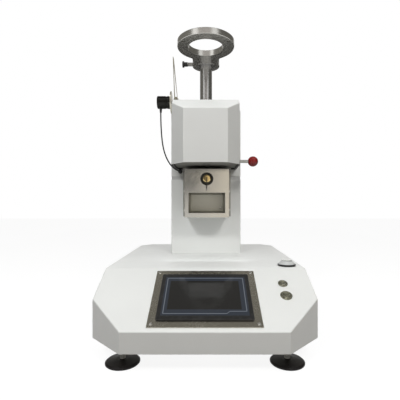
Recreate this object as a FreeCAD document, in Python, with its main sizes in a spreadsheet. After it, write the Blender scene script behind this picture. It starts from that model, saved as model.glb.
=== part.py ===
import FreeCAD, Part
import math
import os
import re
import Sketcher
from FreeCAD import Placement, Rotation, Vector

# Bench melt flow tester: octagonal base with a sloped screen panel, column, heated barrel under a
# bevelled shroud, cutter below the die, weight ring on a post, and a displacement encoder with its arm.
# X runs to the right, Y to the back, Z up, and the floor is Z = 0. All sizes are millimetres.

SIZES = [
    ("base_width", 492, "base, side to side"),
    ("base_depth", 630, "base, front to back"),
    ("base_height", 134, "base, bottom edge to flat top"),
    ("base_front_height", 43, "height of the upright front face"),
    ("bend_setback", 172, "front face to the bend where the slope meets the flat top"),
    ("front_chamfer", 79, "front corners, 45 degrees"),
    ("rear_chamfer", 38, "rear corners, 45 degrees"),
    ("sheet_wall", 2, "folded steel sheet"),
    ("sheet_radius", 3, "outside radius of the folds"),
    ("panel_gap", 0.5, "gap round a panel set into sheet"),
    ("running_gap", 0.05, "radial clearance of turning and sliding fits"),
    ("floor_plate", 4, "bottom plate of the base"),
    ("foot_height", 40, "floor to the base's bottom edge"),
    ("foot_side_inset", 74, "feet, in from the side faces"),
    ("foot_inset", 50, "feet, in from the front and rear faces"),
    ("foot_radius", 36, "rubber pad"),
    ("foot_rim", 4, "height of the pad's upright edge"),
    ("foot_shoulder", 6.5, "height of the shoulder above that edge"),
    ("foot_pad", 10, "height of the pad"),
    ("stud_radius", 6, "stud of a levelling foot"),
    ("stud_reach", 24, "stud above the base's bottom edge"),
    ("nut_width", 19, "lock nut across flats"),
    ("nut_thickness", 7, "lock nut"),
    ("column_width", 220, "column, side to side"),
    ("column_depth", 130, "column, front to back"),
    ("column_height", 454, "column, base top to roof"),
    ("column_setback", 402, "base front to column front"),
    ("band_drop", 210, "column roof to the top of the joint band"),
    ("band_height", 10, "joint band between the column's two housings"),
    ("band_recess", 1.5, "joint band, in from the column's faces"),
    ("cover_width", 170, "rear access cover"),
    ("cover_height", 190, "rear access cover"),
    ("cover_rise", 22, "rear access cover above the base"),
    ("cover_thickness", 1.5, "rear access cover"),
    ("vent_length", 90, "vent slot"),
    ("vent_height", 4, "vent slot"),
    ("vent_pitch", 12, "vent slot to vent slot"),
    ("vent_rise", 50, "vent slots above the cover's lower edge"),
    ("vent_count", 8, "vent slots"),
    ("shroud_width", 188, "furnace shroud, side to side"),
    ("shroud_front_width", 118, "furnace shroud, width of its front face"),
    ("shroud_height", 187, "furnace shroud, lower edge to roof"),
    ("shroud_front_height", 143, "furnace shroud, height of its front face"),
    ("shroud_depth", 179, "furnace shroud, front face to the column"),
    ("shroud_bevel_depth", 46, "front face back to the side faces"),
    ("shroud_roof_run", 73, "sloped part of the roof, front to back"),
    ("shroud_floor_rise", 3, "dark floor plate above the shroud's lower edge"),
    ("barrel_reach", 87, "barrel's axis in front of the column"),
    ("barrel_bore", 9.55, "standard bore of the barrel"),
    ("barrel_diameter", 24, "barrel"),
    ("barrel_stand", 3, "barrel's mouth above the roof"),
    ("barrel_rise", 19, "barrel's lower end above the shroud's lower edge"),
    ("die_diameter", 9.5, "die"),
    ("die_length", 8, "standard length of the die"),
    ("die_bore", 2.095, "standard bore of the die"),
    ("die_seat", 10, "wider seat for the die at the barrel's lower end"),
    ("die_hang", 0.4, "die below the barrel's lower end"),
    ("collar_diameter", 36, "collar round the barrel's mouth"),
    ("roof_hole", 29, "hole in the roof round the barrel"),
    ("block_diameter", 64, "heated block"),
    ("block_height", 124, "heated block"),
    ("heater_thickness", 4, "heater band"),
    ("heater_margin", 10, "heater band, in from the block's ends"),
    ("wool_diameter", 104, "insulation sleeve"),
    ("wool_neck", 50, "insulation round the barrel's neck"),
    ("wool_neck_height", 22, "insulation round the barrel's neck"),
    ("wool_lid", 8, "insulation above the block"),
    ("probe_diameter", 4, "temperature probe"),
    ("probe_offset", 20, "temperature probe to the barrel's axis"),
    ("probe_depth", 90, "temperature probe in the block"),
    ("guide_width", 76, "guide block, side to side"),
    ("guide_half_depth", 30, "guide block, each way from the barrel's axis"),
    ("guide_arm_width", 56, "arm that carries the guide block on the column"),
    ("exit_diameter", 12, "way out below the die"),
    ("slide_gap", 0.7, "die slide's upper face below the barrel's lower end"),
    ("slide_thickness", 10, "die slide"),
    ("slide_width", 30, "die slide"),
    ("slide_left", 14, "die slide, left of the barrel's axis"),
    ("slide_right", 58, "die slide, right of the barrel's axis"),
    ("slide_hole", 8, "hole in the die slide under the die"),
    ("lever_diameter", 9, "lever rod"),
    ("lever_reach", 43, "ball's centre outside the shroud"),
    ("ball_diameter", 30, "ball on the lever"),
    ("lever_hole", 13, "hole for the lever in the shroud"),
    ("post_setback", 43, "post's axis behind the column's front"),
    ("ring_diameter", 165, "weight ring"),
    ("ring_hole", 102, "hole in the weight ring"),
    ("ring_thickness", 17, "weight ring"),
    ("ring_rise", 156.5, "weight ring's underside above the roof"),
    ("ring_slit", 4, "slit in the ring's left side"),
    ("ring_edge", 1, "chamfer on the ring's rim"),
    ("pin_hole", 9, "pin holes in the ring"),
    ("pin_x", 64, "pin holes, each side of the ring's axis"),
    ("pin_y", 36, "pin holes in front of the ring's axis"),
    ("hub_radius", 44, "rounded rear end of the ring's arm"),
    ("neck_width", 84, "neck between ring and hub"),
    ("neck_fillet", 12, "fillets where the neck meets the ring"),
    ("bush_diameter", 56, "bush that the ring swings on"),
    ("bush_flange", 62, "flange under the bush"),
    ("bush_flange_thickness", 2, "flange under the bush"),
    ("post_diameter", 40, "post"),
    ("post_stand", 10, "post above the ring"),
    ("post_socket_depth", 30, "post inside the column's head"),
    ("flange_diameter", 78, "flange at the post's foot"),
    ("flange_thickness", 9, "flange at the post's foot"),
    ("flange_pitch", 59, "pitch circle of the flange's screws"),
    ("clamp_diameter", 12, "clamp screw's stem"),
    ("clamp_neck_diameter", 14, "clamp screw's black neck"),
    ("clamp_head_diameter", 20, "clamp screw's head"),
    ("clamp_head", 6, "clamp screw's head, thickness"),
    ("clamp_neck", 11, "clamp screw's neck, length"),
    ("clamp_stand", 17, "bare stem outside the hub"),
    ("clamp_tip_gap", 0.3, "stem's tip to the bush"),
    ("box_width", 130, "cutter box"),
    ("box_height", 143, "cutter box"),
    ("box_depth", 75, "cutter box, behind its face plate"),
    ("box_drop", 7, "cutter box below the shroud's lower edge"),
    ("box_flange", 10, "cutter box's side flanges"),
    ("box_offset", 3, "cutter box, right of the column's middle"),
    ("face_thickness", 2, "face plate of the cutter box"),
    ("cutter_drop", 36.5, "cutter's axis below the shroud's lower edge"),
    ("cutter_opening", 36, "round opening in the face plate"),
    ("opening_lip", 1, "black ring's lip round the opening"),
    ("opening_ring_bore", 32, "black ring in the opening"),
    ("hub_diameter", 22, "brass cutter hub"),
    ("hub_length", 24, "brass cutter hub"),
    ("hub_stand", 18, "cutter hub's front before the face plate"),
    ("spindle_diameter", 8, "cutter spindle"),
    ("spindle_tail", 8, "cutter spindle inside the motor"),
    ("blade_radius", 34.5, "cutter's axis to the blade's tip"),
    ("blade_width", 13, "blade along the cutter's axis"),
    ("blade_thickness", 1, "blade"),
    ("bearing_diameter", 28, "bearing nose of the motor bracket"),
    ("bearing_setback", 8, "bearing nose behind the face plate's front"),
    ("bracket_setback", 16, "motor bracket behind the face plate's front"),
    ("bracket_thickness", 3, "motor bracket"),
    ("bracket_gap", 2.5, "motor bracket above the sample niche"),
    ("motor_diameter", 37, "cutter motor"),
    ("motor_length", 48, "cutter motor"),
    ("niche_width", 108, "sample niche, opening"),
    ("niche_height", 60, "sample niche, opening"),
    ("niche_rise", 13, "sample niche above the cutter box's lower edge"),
    ("niche_depth", 66, "sample niche"),
    ("niche_taper", 4, "sample niche's walls close in by this angle, degrees"),
    ("liner_wall", 1.5, "sample niche's liner"),
    ("screen_centre", 95, "screen's centre, up the slope from its front edge"),
    ("screen_frame_width", 232, "steel frame round the screen"),
    ("screen_frame_height", 170, "steel frame round the screen"),
    ("screen_frame_thickness", 2, "steel frame round the screen"),
    ("screen_width", 200.4, "bezel of the screen unit"),
    ("screen_height", 138, "bezel of the screen unit"),
    ("screen_bezel", 4, "bezel's thickness"),
    ("screen_corner", 4, "bezel's corner radius"),
    ("glass_width", 183, "display glass"),
    ("glass_height", 117, "display glass"),
    ("glass_recess", 1.2, "display glass, depth of its seat"),
    ("case_width", 190, "screen unit's case"),
    ("case_height", 130, "screen unit's case"),
    ("case_depth", 30, "screen unit's case below the slope"),
    ("cutout_margin", 1, "cut-out round the screen unit's case"),
    ("screw_inset", 8, "frame screws, in from the frame's edges"),
    ("button_inset", 67, "buttons, in from the base's right side"),
    ("button_small_up", 137, "small button, up the slope"),
    ("button_large_up", 98.5, "large button, up the slope"),
    ("button_small_flange", 22, "small button"),
    ("button_small_hole", 19, "small button"),
    ("button_large_flange", 26.5, "large button"),
    ("button_large_hole", 22, "large button"),
    ("button_lip", 2.4, "buttons' flange"),
    ("button_depth", 30, "buttons below the slope"),
    ("button_wall", 2, "wall round a button's cap"),
    ("button_stand", 1.4, "cap above its flange"),
    ("button_seat", 7, "depth of the bore that a cap moves in"),
    ("button_skirt", 3, "cap below the slope's surface"),
    ("level_inset", 39, "bubble level, in from the base's right side"),
    ("level_setback", 200, "bubble level, behind the base's front"),
    ("level_diameter", 45, "bubble level"),
    ("level_ring_height", 4.7, "bubble level's black foot ring"),
    ("level_ring_wall", 5, "bubble level's black foot ring"),
    ("level_height", 13.3, "bubble level's holder"),
    ("level_rim", 1.2, "rim round the bubble level's glass"),
    ("level_glass_diameter", 25.6, "bubble level's glass"),
    ("level_glass_depth", 7, "bubble level's glass"),
    ("encoder_reach", 37, "encoder's axis in front of the column"),
    ("encoder_rise", 13, "encoder's axis above the roof"),
    ("encoder_diameter", 38, "encoder"),
    ("encoder_length", 41, "encoder"),
    ("encoder_disc", 66, "mounting disc"),
    ("encoder_disc_thickness", 3, "mounting disc"),
    ("encoder_spacer", 10, "mounting disc outside the shroud's wall"),
    ("spacer_radius", 4, "spacers of the mounting disc"),
    ("spacer_offset", 22, "spacers, each way and down from the axis"),
    ("encoder_shaft_diameter", 6, "encoder's shaft"),
    ("encoder_shaft_tail", 14, "shaft inside the encoder"),
    ("arm_hub_diameter", 24, "arm's hub"),
    ("arm_hub_length", 14, "arm's hub"),
    ("arm_hub_gap", 6, "arm's hub to the mounting disc"),
    ("arm_length", 139, "encoder's axis to the arm's tip"),
    ("arm_strip", 1.6, "thickness of the arm's two strips"),
    ("arm_lean", 3, "how far the arm leans outwards at its tip"),
    ("arm_depth", 16, "arm at its hub, front to back"),
    ("arm_tip_depth", 6, "arm at its tip, front to back"),
    ("boot_length", 12, "encoder cable's boot"),
    ("boot_radius", 4.5, "encoder cable's boot"),
    ("boot_end_radius", 3, "encoder cable's boot at its end"),
    ("boot_from_end", 10, "boot's axis from the encoder's outer end"),
    ("cable_diameter", 4, "encoder cable"),
    ("gland_radius", 6.5, "cable gland"),
    ("gland_nut", 8, "cable gland's body"),
    ("gland_nose", 7, "cable gland's nose"),
    ("gland_end_radius", 3.5, "cable gland's nose at its end"),
    ("gland_drop", 8, "cable gland below the shroud's lower edge"),
    ("gland_inset", 29, "cable gland, in from the column's left side"),
    ("inlet_lip", 3, "mains inlet's flange"),
    ("inlet_width", 50, "mains inlet's flange"),
    ("inlet_height", 28, "mains inlet's flange"),
    ("inlet_body_width", 28, "mains inlet's body"),
    ("inlet_body_height", 21, "mains inlet's body"),
    ("inlet_body_depth", 26, "mains inlet's body"),
    ("inlet_well_width", 24, "mains inlet's well"),
    ("inlet_well_height", 16, "mains inlet's well"),
    ("inlet_well_depth", 17, "mains inlet's well"),
    ("inlet_inset", 96, "mains inlet, in from the base's left side seen from the front"),
    ("inlet_rise", 45, "mains inlet above the base's bottom edge"),
    ("supply_width", 160, "power supply"),
    ("supply_depth", 98, "power supply"),
    ("supply_height", 42, "power supply"),
    ("supply_setback", 355, "base front to the power supply"),
    ("board_width", 150, "control board"),
    ("board_depth", 100, "control board"),
    ("board_thickness", 1.6, "control board"),
    ("board_setback", 230, "base front to the control board"),
    ("board_stand", 8, "control board's standoffs"),
    ("screw_head", 3.6, "radius of the small screws' heads"),
    ("screw_head_height", 1.8, "small screws' heads"),
    ("screw_shank", 1.9, "radius of the small screws' shanks"),
    ("screw_length", 8, "small screws' shanks"),
    ("bolt_head", 5, "radius of the flange screws' heads"),
    ("bolt_head_height", 6, "flange screws' heads"),
    ("bolt_shank", 3, "radius of the flange screws' shanks"),
    ("bolt_length", 18, "flange screws' shanks"),
]

# Places that several pieces share, as formulas of the sizes
FRONT = "(-(base_depth + inlet_lip)/2)"
REAR = "((base_depth - inlet_lip)/2)"
TABLE = "(foot_height + base_height)"
SLOPE = "atan((base_height - base_front_height)/bend_setback)"
COLUMN_FRONT = f"({FRONT} + column_setback)"
COLUMN_REAR = f"({COLUMN_FRONT} + column_depth)"
ROOF = f"({TABLE} + column_height)"
SHROUD_LOW = f"({ROOF} - shroud_height)"
SHROUD_FRONT = f"({COLUMN_FRONT} - shroud_depth)"
BARREL_Y = f"({COLUMN_FRONT} - barrel_reach)"
BARREL_LOW = f"({SHROUD_LOW} + barrel_rise)"
BLOCK_LOW = f"({BARREL_LOW} + 6)"
SLIDE_Z = f"({BARREL_LOW} - slide_gap - slide_thickness/2)"
POST_Y = f"({COLUMN_FRONT} + post_setback)"
RING_REACH = "(barrel_reach + post_setback)"
RING_LOW = f"({ROOF} + ring_rise)"
CUTTER_Z = f"({SHROUD_LOW} - cutter_drop)"
BOX_TOP = f"({SHROUD_LOW} - box_drop)"
FACE_Y = f"({COLUMN_FRONT} - box_depth - face_thickness)"
CUTTER_X = "box_offset"
ENCODER_Y = f"({COLUMN_FRONT} - encoder_reach)"
ENCODER_Z = f"({ROOF} + encoder_rise)"
DISC_X = "(-shroud_width/2 - encoder_spacer)"
GLAND_X = "(gland_inset - column_width/2)"
FOOT_X = "(base_width/2 - foot_side_inset)"
BUTTON_X = "(base_width/2 - button_inset)"
LEVEL_X = "(base_width/2 - level_inset)"
INLET_X = "(inlet_inset - base_width/2)"

doc = FreeCAD.newDocument("melt_flow_tester")
sheet = doc.addObject("Spreadsheet::Sheet", "sizes")
for row, (alias, amount, meaning) in enumerate(SIZES, 1):
    sheet.set(f"A{row}", alias)
    sheet.set(f"B{row}", str(amount))
    sheet.setAlias(f"B{row}", alias)
    sheet.set(f"C{row}", meaning)
doc.recompute()

parts = {}

TURNS = {
    "X": Rotation(Vector(0, 1, 0), 90),
    "Y": Rotation(Vector(1, 0, 0), -90),
    "Z": Rotation(),
    "-X": Rotation(Vector(0, 1, 0), -90),
    "-Y": Rotation(Vector(1, 0, 0), 90),
    "-Z": Rotation(Vector(1, 0, 0), 180),
}


def size(alias):
    """The number that the sheet holds for one size."""
    return float(sheet.get(alias))


def formula(text):
    """Every size's name has an underscore, and is looked up in the sheet."""
    return re.sub(r"\b([a-z]\w*_\w+)\b", r"sizes.\1", text)


def bind(item, prop, text):
    item.setExpression(prop, formula(text))


def place(item, at, axis="Z"):
    """Puts an object's own origin at a point, its own Z along an axis."""
    item.Placement = Placement(Vector(), TURNS[axis])
    for letter, text in zip("xyz", at):
        bind(item, f"Placement.Base.{letter}", text)
    return item


def place_on_slope(item, x="0", up="0", out="0"):
    """Own X to the right, own Y up the sloped panel and own Z out of it, from its front edge."""
    item.Placement = Placement(Vector(), Rotation(Vector(1, 0, 0), 1))
    bind(item, "Placement.Rotation.Angle", SLOPE)
    bind(item, "Placement.Base.x", x)
    bind(item, "Placement.Base.y", f"{FRONT} + ({up})*cos({SLOPE}) - ({out})*sin({SLOPE})")
    bind(item, "Placement.Base.z",
         f"foot_height + base_front_height + ({up})*sin({SLOPE}) + ({out})*cos({SLOPE})")
    return item


def part(label, item):
    """Names a finished sub-part."""
    item.Label = label
    parts[label] = item
    return item


def box(name, extent, low=("0", "0", "0")):
    """A block from its low corner; each formula is a length or a coordinate."""
    block = doc.addObject("Part::Box", name)
    for prop, text in zip(("Length", "Width", "Height"), extent):
        bind(block, prop, text)
    return place(block, low)


def centred_box(name, extent, middle):
    """A block centred across X and Y, standing on the height of its middle's last formula."""
    low = (f"{middle[0]} - ({extent[0]})/2", f"{middle[1]} - ({extent[1]})/2", middle[2])
    return box(name, extent, low)


def rod(name, radius, length, start=("0", "0", "0"), axis="Z"):
    """A cylinder from the centre of its first end."""
    cylinder = doc.addObject("Part::Cylinder", name)
    bind(cylinder, "Radius", radius)
    bind(cylinder, "Height", length)
    return place(cylinder, start, axis)


def taper(name, first, last, length, start, axis="Z"):
    """A cone frustum from the centre of its first end."""
    cone = doc.addObject("Part::Cone", name)
    bind(cone, "Radius1", first)
    bind(cone, "Radius2", last)
    bind(cone, "Height", length)
    return place(cone, start, axis)


def fuse(name, *pieces):
    joined = doc.addObject("Part::MultiFuse", name)
    joined.Shapes = list(pieces)
    return joined


def cut(name, base, *tools):
    rest = doc.addObject("Part::Cut", name)
    rest.Base = base
    rest.Tool = tools[0] if len(tools) == 1 else fuse(name + "_tools", *tools)
    return rest


def common(name, *pieces):
    both = doc.addObject("Part::MultiCommon", name)
    both.Shapes = list(pieces)
    return both


def group(name, pieces):
    """Separate solids that share one sub-part."""
    several = doc.addObject("Part::Compound", name)
    several.Links = list(pieces)
    return several


def drill(label, holes):
    """Cuts holes into a sub-part that is already named."""
    form = parts[label]
    form.Label = label + "_undrilled"
    part(label, cut(label + "_drilled", form, *holes))


def body(label):
    return doc.addObject("PartDesign::Body", label)


def sketch(owner, name, role):
    """An empty sketch on one of the body's own origin planes."""
    drawing = owner.newObject("Sketcher::SketchObject", name)
    plane = next(item for item in owner.Origin.OriginFeatures if item.Role == role)
    drawing.AttachmentSupport = [(plane, "")]
    drawing.MapMode = "FlatFace"
    return drawing


def locate(drawing, geometry, point, across, up):
    """Ties one point of a sketch to the origin by two bound distances."""
    for kind, text in (("DistanceX", across), ("DistanceY", up)):
        index = drawing.addConstraint(Sketcher.Constraint(kind, -1, 1, geometry, point, 0.0))
        if text != "0":
            bind(drawing, f"Constraints[{index}]", text)


def outline(drawing, corners):
    """A closed run of straight edges through corners, each a pair of formulas."""
    count = len(corners)
    first = drawing.GeometryCount
    ring = [Vector(math.cos(math.tau * n / count), math.sin(math.tau * n / count), 0) for n in range(count)]
    for n in range(count):
        drawing.addGeometry(Part.LineSegment(ring[n], ring[(n + 1) % count]))
    for n in range(count):
        drawing.addConstraint(
            Sketcher.Constraint("Coincident", first + n, 2, first + (n + 1) % count, 1))
    for n, (across, up) in enumerate(corners):
        locate(drawing, first + n, 1, across, up)


def circle(drawing, radius, across="0", up="0"):
    index = drawing.addGeometry(Part.Circle(Vector(1, 1, 0), Vector(0, 0, 1), 1))
    constraint = drawing.addConstraint(Sketcher.Constraint("Radius", index, 1.0))
    bind(drawing, f"Constraints[{constraint}]", radius)
    locate(drawing, index, 3, across, up)


def rectangle(drawing, width, height, across="0", up="0"):
    """A rectangle about a centre."""
    left, right = f"({across}) - ({width})/2", f"({across}) + ({width})/2"
    low, high = f"({up}) - ({height})/2", f"({up}) + ({height})/2"
    outline(drawing, [(left, low), (right, low), (right, high), (left, high)])


def pad(owner, drawing, length, symmetric=False, backwards=False):
    feature = owner.newObject("PartDesign::Pad", drawing.Name + "_pad")
    feature.Profile = drawing
    bind(feature, "Length", length)
    feature.SideType = "Symmetric" if symmetric else "One side"
    feature.Reversed = backwards
    return feature


def pocket(owner, drawing, length=None, symmetric=False, backwards=False):
    """Cuts to a depth, or through everything when no depth is given."""
    feature = owner.newObject("PartDesign::Pocket", drawing.Name + "_pocket")
    feature.Profile = drawing
    feature.SideType = "Symmetric" if symmetric else "One side"
    feature.Reversed = backwards
    if length is None:
        feature.Type = "ThroughAll"
    else:
        bind(feature, "Length", length)
    return feature


def revolve(owner, drawing, about="V_Axis"):
    feature = owner.newObject("PartDesign::Revolution", drawing.Name + "_revolution")
    feature.Profile = drawing
    feature.ReferenceAxis = (drawing, [about])
    feature.Angle = 360
    return feature


def edges_where(feature, test):
    """Names of a feature's edges that pass a test."""
    doc.recompute()
    return [f"Edge{n}" for n, edge in enumerate(feature.Shape.Edges, 1) if test(edge)]


def fillet(owner, base, radius, test):
    names = edges_where(base, test)
    feature = owner.newObject("PartDesign::Fillet", base.Name + "_fillet")
    feature.Base = (base, names)
    bind(feature, "Radius", radius)
    return feature


def chamfer(owner, base, width, test):
    names = edges_where(base, test)
    feature = owner.newObject("PartDesign::Chamfer", base.Name + "_chamfer")
    feature.Base = (base, names)
    bind(feature, "Size", width)
    return feature


def lies_flat(shape, level):
    return abs(shape.BoundBox.ZMin - level) < 0.01 and abs(shape.BoundBox.ZMax - level) < 0.01


def is_upright(edge):
    return edge.BoundBox.ZLength > 1 and edge.BoundBox.XLength + edge.BoundBox.YLength < 0.01


def octagon(inset="0"):
    """Plan of the base, optionally moved inwards all round; the front face is at Y = 0."""
    side = f"(base_width/2 - ({inset}))"
    front = f"(front_chamfer - ({inset})*(2 - sqrt(2)))"
    rear = f"(rear_chamfer - ({inset})*(2 - sqrt(2)))"
    low, high = f"({inset})", f"(base_depth - ({inset}))"
    right = [(f"{side} - {front}", low), (side, f"{low} + {front}"),
             (side, f"{high} - {rear}"), (f"{side} - {rear}", high)]
    left = [(f"-({across})", up) for across, up in reversed(right)]
    return right + left


def side_profile(inset, depth, height, front_height, setback, back="0"):
    """Side view of a housing with a sloped front part, optionally moved inwards and open below."""
    slope = f"atan(({height} - {front_height})/{setback})"
    bend = f"{setback} + ({inset})*(1/cos({slope}) - 1)/tan({slope})"
    nose = f"{front_height} + ({inset})*tan({slope}) - ({inset})/cos({slope})"
    low, rear = f"-({inset})", f"{depth} - ({back})"
    return [(f"({inset})", low), (rear, low), (rear, f"{height} - ({inset})"),
            (bend, f"{height} - ({inset})"), (f"({inset})", nose)]


def folded_form(label, profile, width, plan, margin, rounds=None):
    """A side profile made as wide as the housing, cut to its plan, and rounded where folded."""
    form = body(label)
    side = sketch(form, label + "_profile", "YZ_Plane")
    outline(side, profile)
    pad(form, side, width, symmetric=True)
    top = sketch(form, label + "_plan", "XY_Plane")
    rectangle(top, *margin)
    outline(top, plan)
    trimmed = pocket(form, top, symmetric=True)
    if rounds:
        fillet(form, trimmed, "sheet_radius", rounds)
    return form


def make_base():
    margin = ("base_width*2", "base_depth*2", "0", "base_depth/2")
    sizes_of_side = ("base_depth", "base_height", "base_front_height", "bend_setback")
    outside = folded_form("base_form", side_profile("0", *sizes_of_side), "base_width", octagon(), margin,
                          lambda edge: not lies_flat(edge, 0))
    inside = folded_form("base_room", side_profile("sheet_wall", *sizes_of_side, "sheet_wall"), "base_width",
                         octagon("sheet_wall"), margin)
    for form in (outside, inside):
        place(form, ("0", FRONT, "foot_height"))

    screen_hole = box("screen_hole", ("case_width + 2*cutout_margin", "case_height + 2*cutout_margin", "20"))
    place_on_slope(screen_hole, "-case_width/2 - cutout_margin",
                   "screen_centre - case_height/2 - cutout_margin", "-10")
    holes = [screen_hole]
    for kind in ("small", "large"):
        hole = rod(f"button_{kind}_cut", f"button_{kind}_hole/2 + running_gap", "20")
        place_on_slope(hole, BUTTON_X, f"button_{kind}_up", "-10")
        holes.append(hole)
    holes.append(rod("wiring_cut", "22", "20", ("0", f"{COLUMN_FRONT} + column_depth/2", f"{TABLE} - 10")))
    holes.append(centred_box("inlet_cut", ("inlet_body_width", "20", "inlet_body_height"),
                             (INLET_X, REAR, "foot_height + inlet_rise - inlet_body_height/2")))
    part("base_housing", cut("base_cut", outside, inside, *holes))

    plate = body("base_plate")
    drawing = sketch(plate, "base_plate_plan", "XY_Plane")
    outline(drawing, octagon("sheet_wall + panel_gap"))
    for across in (f"-{FOOT_X}", FOOT_X):
        for up in ("foot_inset", "base_depth - foot_inset"):
            circle(drawing, "stud_radius + running_gap", across, up)
    pad(plate, drawing, "floor_plate")
    posts = sketch(plate, "board_posts", "XY_Plane")
    for across in ("-board_width/2 + 8", "board_width/2 - 8"):
        for up in ("board_setback + 8", "board_setback + board_depth - 8"):
            circle(posts, "3.5", across, up)
    pad(plate, posts, "floor_plate + board_stand")
    place(plate, ("0", FRONT, "foot_height"))
    part("base_plate", plate)

    part("control_board", centred_box(
        "control_board", ("board_width", "board_depth", "board_thickness"),
        ("0", f"{FRONT} + board_setback + board_depth/2", "foot_height + floor_plate + board_stand")))
    part("power_supply", centred_box(
        "power_supply", ("supply_width", "supply_depth", "supply_height"),
        ("0", f"{FRONT} + supply_setback + supply_depth/2", "foot_height + floor_plate")))


def make_feet():
    nuts = []
    for depth, up in (("front", f"{FRONT} + foot_inset"), ("rear", f"{REAR} - foot_inset")):
        for side, across in (("left", f"-{FOOT_X}"), ("right", FOOT_X)):
            label = f"foot_{depth}_{side}"
            foot = body(label)
            half = sketch(foot, label + "_half", "XZ_Plane")
            outline(half, [("0", "0"), ("foot_radius - 1.5", "0"), ("foot_radius", "1.5"),
                           ("foot_radius", "foot_rim"), ("foot_radius - 3", "foot_shoulder"),
                           ("stud_radius + 6", "foot_pad"), ("stud_radius", "foot_pad"),
                           ("stud_radius", "foot_height + stud_reach"), ("0", "foot_height + stud_reach")])
            revolve(foot, half)
            place(foot, (across, up, "0"))
            part(label, foot)
            nut = doc.addObject("Part::Prism", f"nut_{depth}_{side}")
            nut.Polygon = 6
            bind(nut, "Circumradius", "nut_width/sqrt(3)")
            bind(nut, "Height", "nut_thickness")
            place(nut, (across, up, "foot_height - nut_thickness"))
            bore = rod(f"nut_bore_{depth}_{side}", "stud_radius + running_gap", "nut_thickness",
                       (across, up, "foot_height - nut_thickness"))
            nuts.append(cut(f"nut_{depth}_{side}_cut", nut, bore))
    part("foot_nuts", group("foot_nuts", nuts))


def make_column():
    """Two folded housings stacked on a joint band, with an access cover and vents behind."""
    band_low = f"({ROOF} - band_drop - band_height)"
    middle = f"{COLUMN_FRONT} + column_depth/2"
    spans = {"column_lower": (TABLE, f"{band_low} - {TABLE}", "2*sheet_wall"),
             "column_head": (f"({ROOF} - band_drop)", "band_drop", "0")}
    forms = {}
    for label, (low, height, beyond) in spans.items():
        form = body(label + "_form")
        plan = sketch(form, label + "_plan", "XY_Plane")
        rectangle(plan, "column_width", "column_depth")
        block = pad(form, plan, height)
        doc.recompute()
        top = block.Shape.BoundBox.ZMax
        fillet(form, block, "sheet_radius",
               lambda edge: is_upright(edge) or (beyond == "0" and lies_flat(edge, top)))
        place(form, ("0", middle, low))
        room = centred_box(label + "_room", ("column_width - 2*sheet_wall", "column_depth - 2*sheet_wall",
                                             f"{height} + {beyond}"),
                           ("0", middle, f"{low} - sheet_wall"))
        forms[label] = (form, room)

    post_hole = rod("post_hole", "post_diameter/2 + running_gap", "20", ("0", POST_Y, f"{ROOF} - 10"))
    part("column_head", cut("column_head_cut", *forms["column_head"], post_hole))
    vents = []
    for index in range(int(size("vent_count"))):
        opening_low = f"{TABLE} + cover_rise + vent_rise + {index}*vent_pitch"
        vents.append(centred_box(f"cover_opening_{index}", ("vent_length", "20", "vent_height"),
                                 ("0", COLUMN_REAR, opening_low)))
    part("column_lower", cut("column_lower_cut", *forms["column_lower"], *vents))

    band = centred_box("column_band", ("column_width - 2*band_recess", "column_depth - 2*band_recess",
                                       "band_height"), ("0", middle, band_low))
    wiring = centred_box("band_opening", ("column_width - 40", "column_depth - 40", "band_height"),
                         ("0", middle, band_low))
    part("column_band", cut("column_band_cut", band, wiring))

    cover = body("column_rear_cover")
    face = sketch(cover, "cover_face", "XZ_Plane")
    rectangle(face, "cover_width", "cover_height", "0", "cover_height/2")
    for index in range(int(size("vent_count"))):
        rectangle(face, "vent_length", "vent_height", "0",
                  f"vent_rise + vent_height/2 + {index}*vent_pitch")
    pad(cover, face, "cover_thickness", backwards=True)
    place(cover, ("0", COLUMN_REAR, f"{TABLE} + cover_rise"))
    part("column_rear_cover", cover)


def shroud_plan(inset, rear):
    """Plan of the shroud moved inwards, from its front face at Y = 0 to a rear edge."""
    side, face = f"(shroud_width/2 - ({inset}))", f"(shroud_front_width/2 - ({inset})/2)"
    right = [(face, f"({inset})"), (side, f"shroud_bevel_depth + ({inset})/2"), (side, rear)]
    left = [(f"-{across}", up) for across, up in reversed(right)]
    return right + left


def make_shroud():
    margin = ("shroud_width*2", "shroud_depth*2", "0", "shroud_depth/2")
    sizes_of_side = ("shroud_depth", "shroud_height", "shroud_front_height", "shroud_roof_run")
    back = size("shroud_depth")

    def is_folded(edge):
        return not lies_flat(edge, 0) and abs(edge.BoundBox.YMin - back) > 0.01

    outside = folded_form("shroud_form", side_profile("0", *sizes_of_side), "shroud_width",
                          shroud_plan("0", "shroud_depth"), margin, is_folded)
    inside = folded_form("shroud_room", side_profile("sheet_wall", *sizes_of_side, "-sheet_wall"),
                         "shroud_width", shroud_plan("sheet_wall", "(shroud_depth + 2*sheet_wall)"), margin)
    for form in (outside, inside):
        place(form, ("0", SHROUD_FRONT, SHROUD_LOW))
    mouth = rod("roof_cut", "roof_hole/2", "20", ("0", BARREL_Y, f"{ROOF} - 10"))
    lever = rod("lever_cut", "lever_hole/2", "20",
                ("shroud_width/2 - 10", BARREL_Y, SLIDE_Z), "X")
    part("furnace_shroud", cut("shroud_cut", outside, inside, mouth, lever))

    floor = body("shroud_floor")
    drawing = sketch(floor, "shroud_floor_plan", "XY_Plane")
    outline(drawing, shroud_plan("sheet_wall + panel_gap", "shroud_depth"))
    circle(drawing, "exit_diameter", "0", "shroud_depth - barrel_reach")
    pad(floor, drawing, "sheet_wall")
    place(floor, ("0", SHROUD_FRONT, f"{SHROUD_LOW} + shroud_floor_rise"))
    part("shroud_floor", floor)


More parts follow.
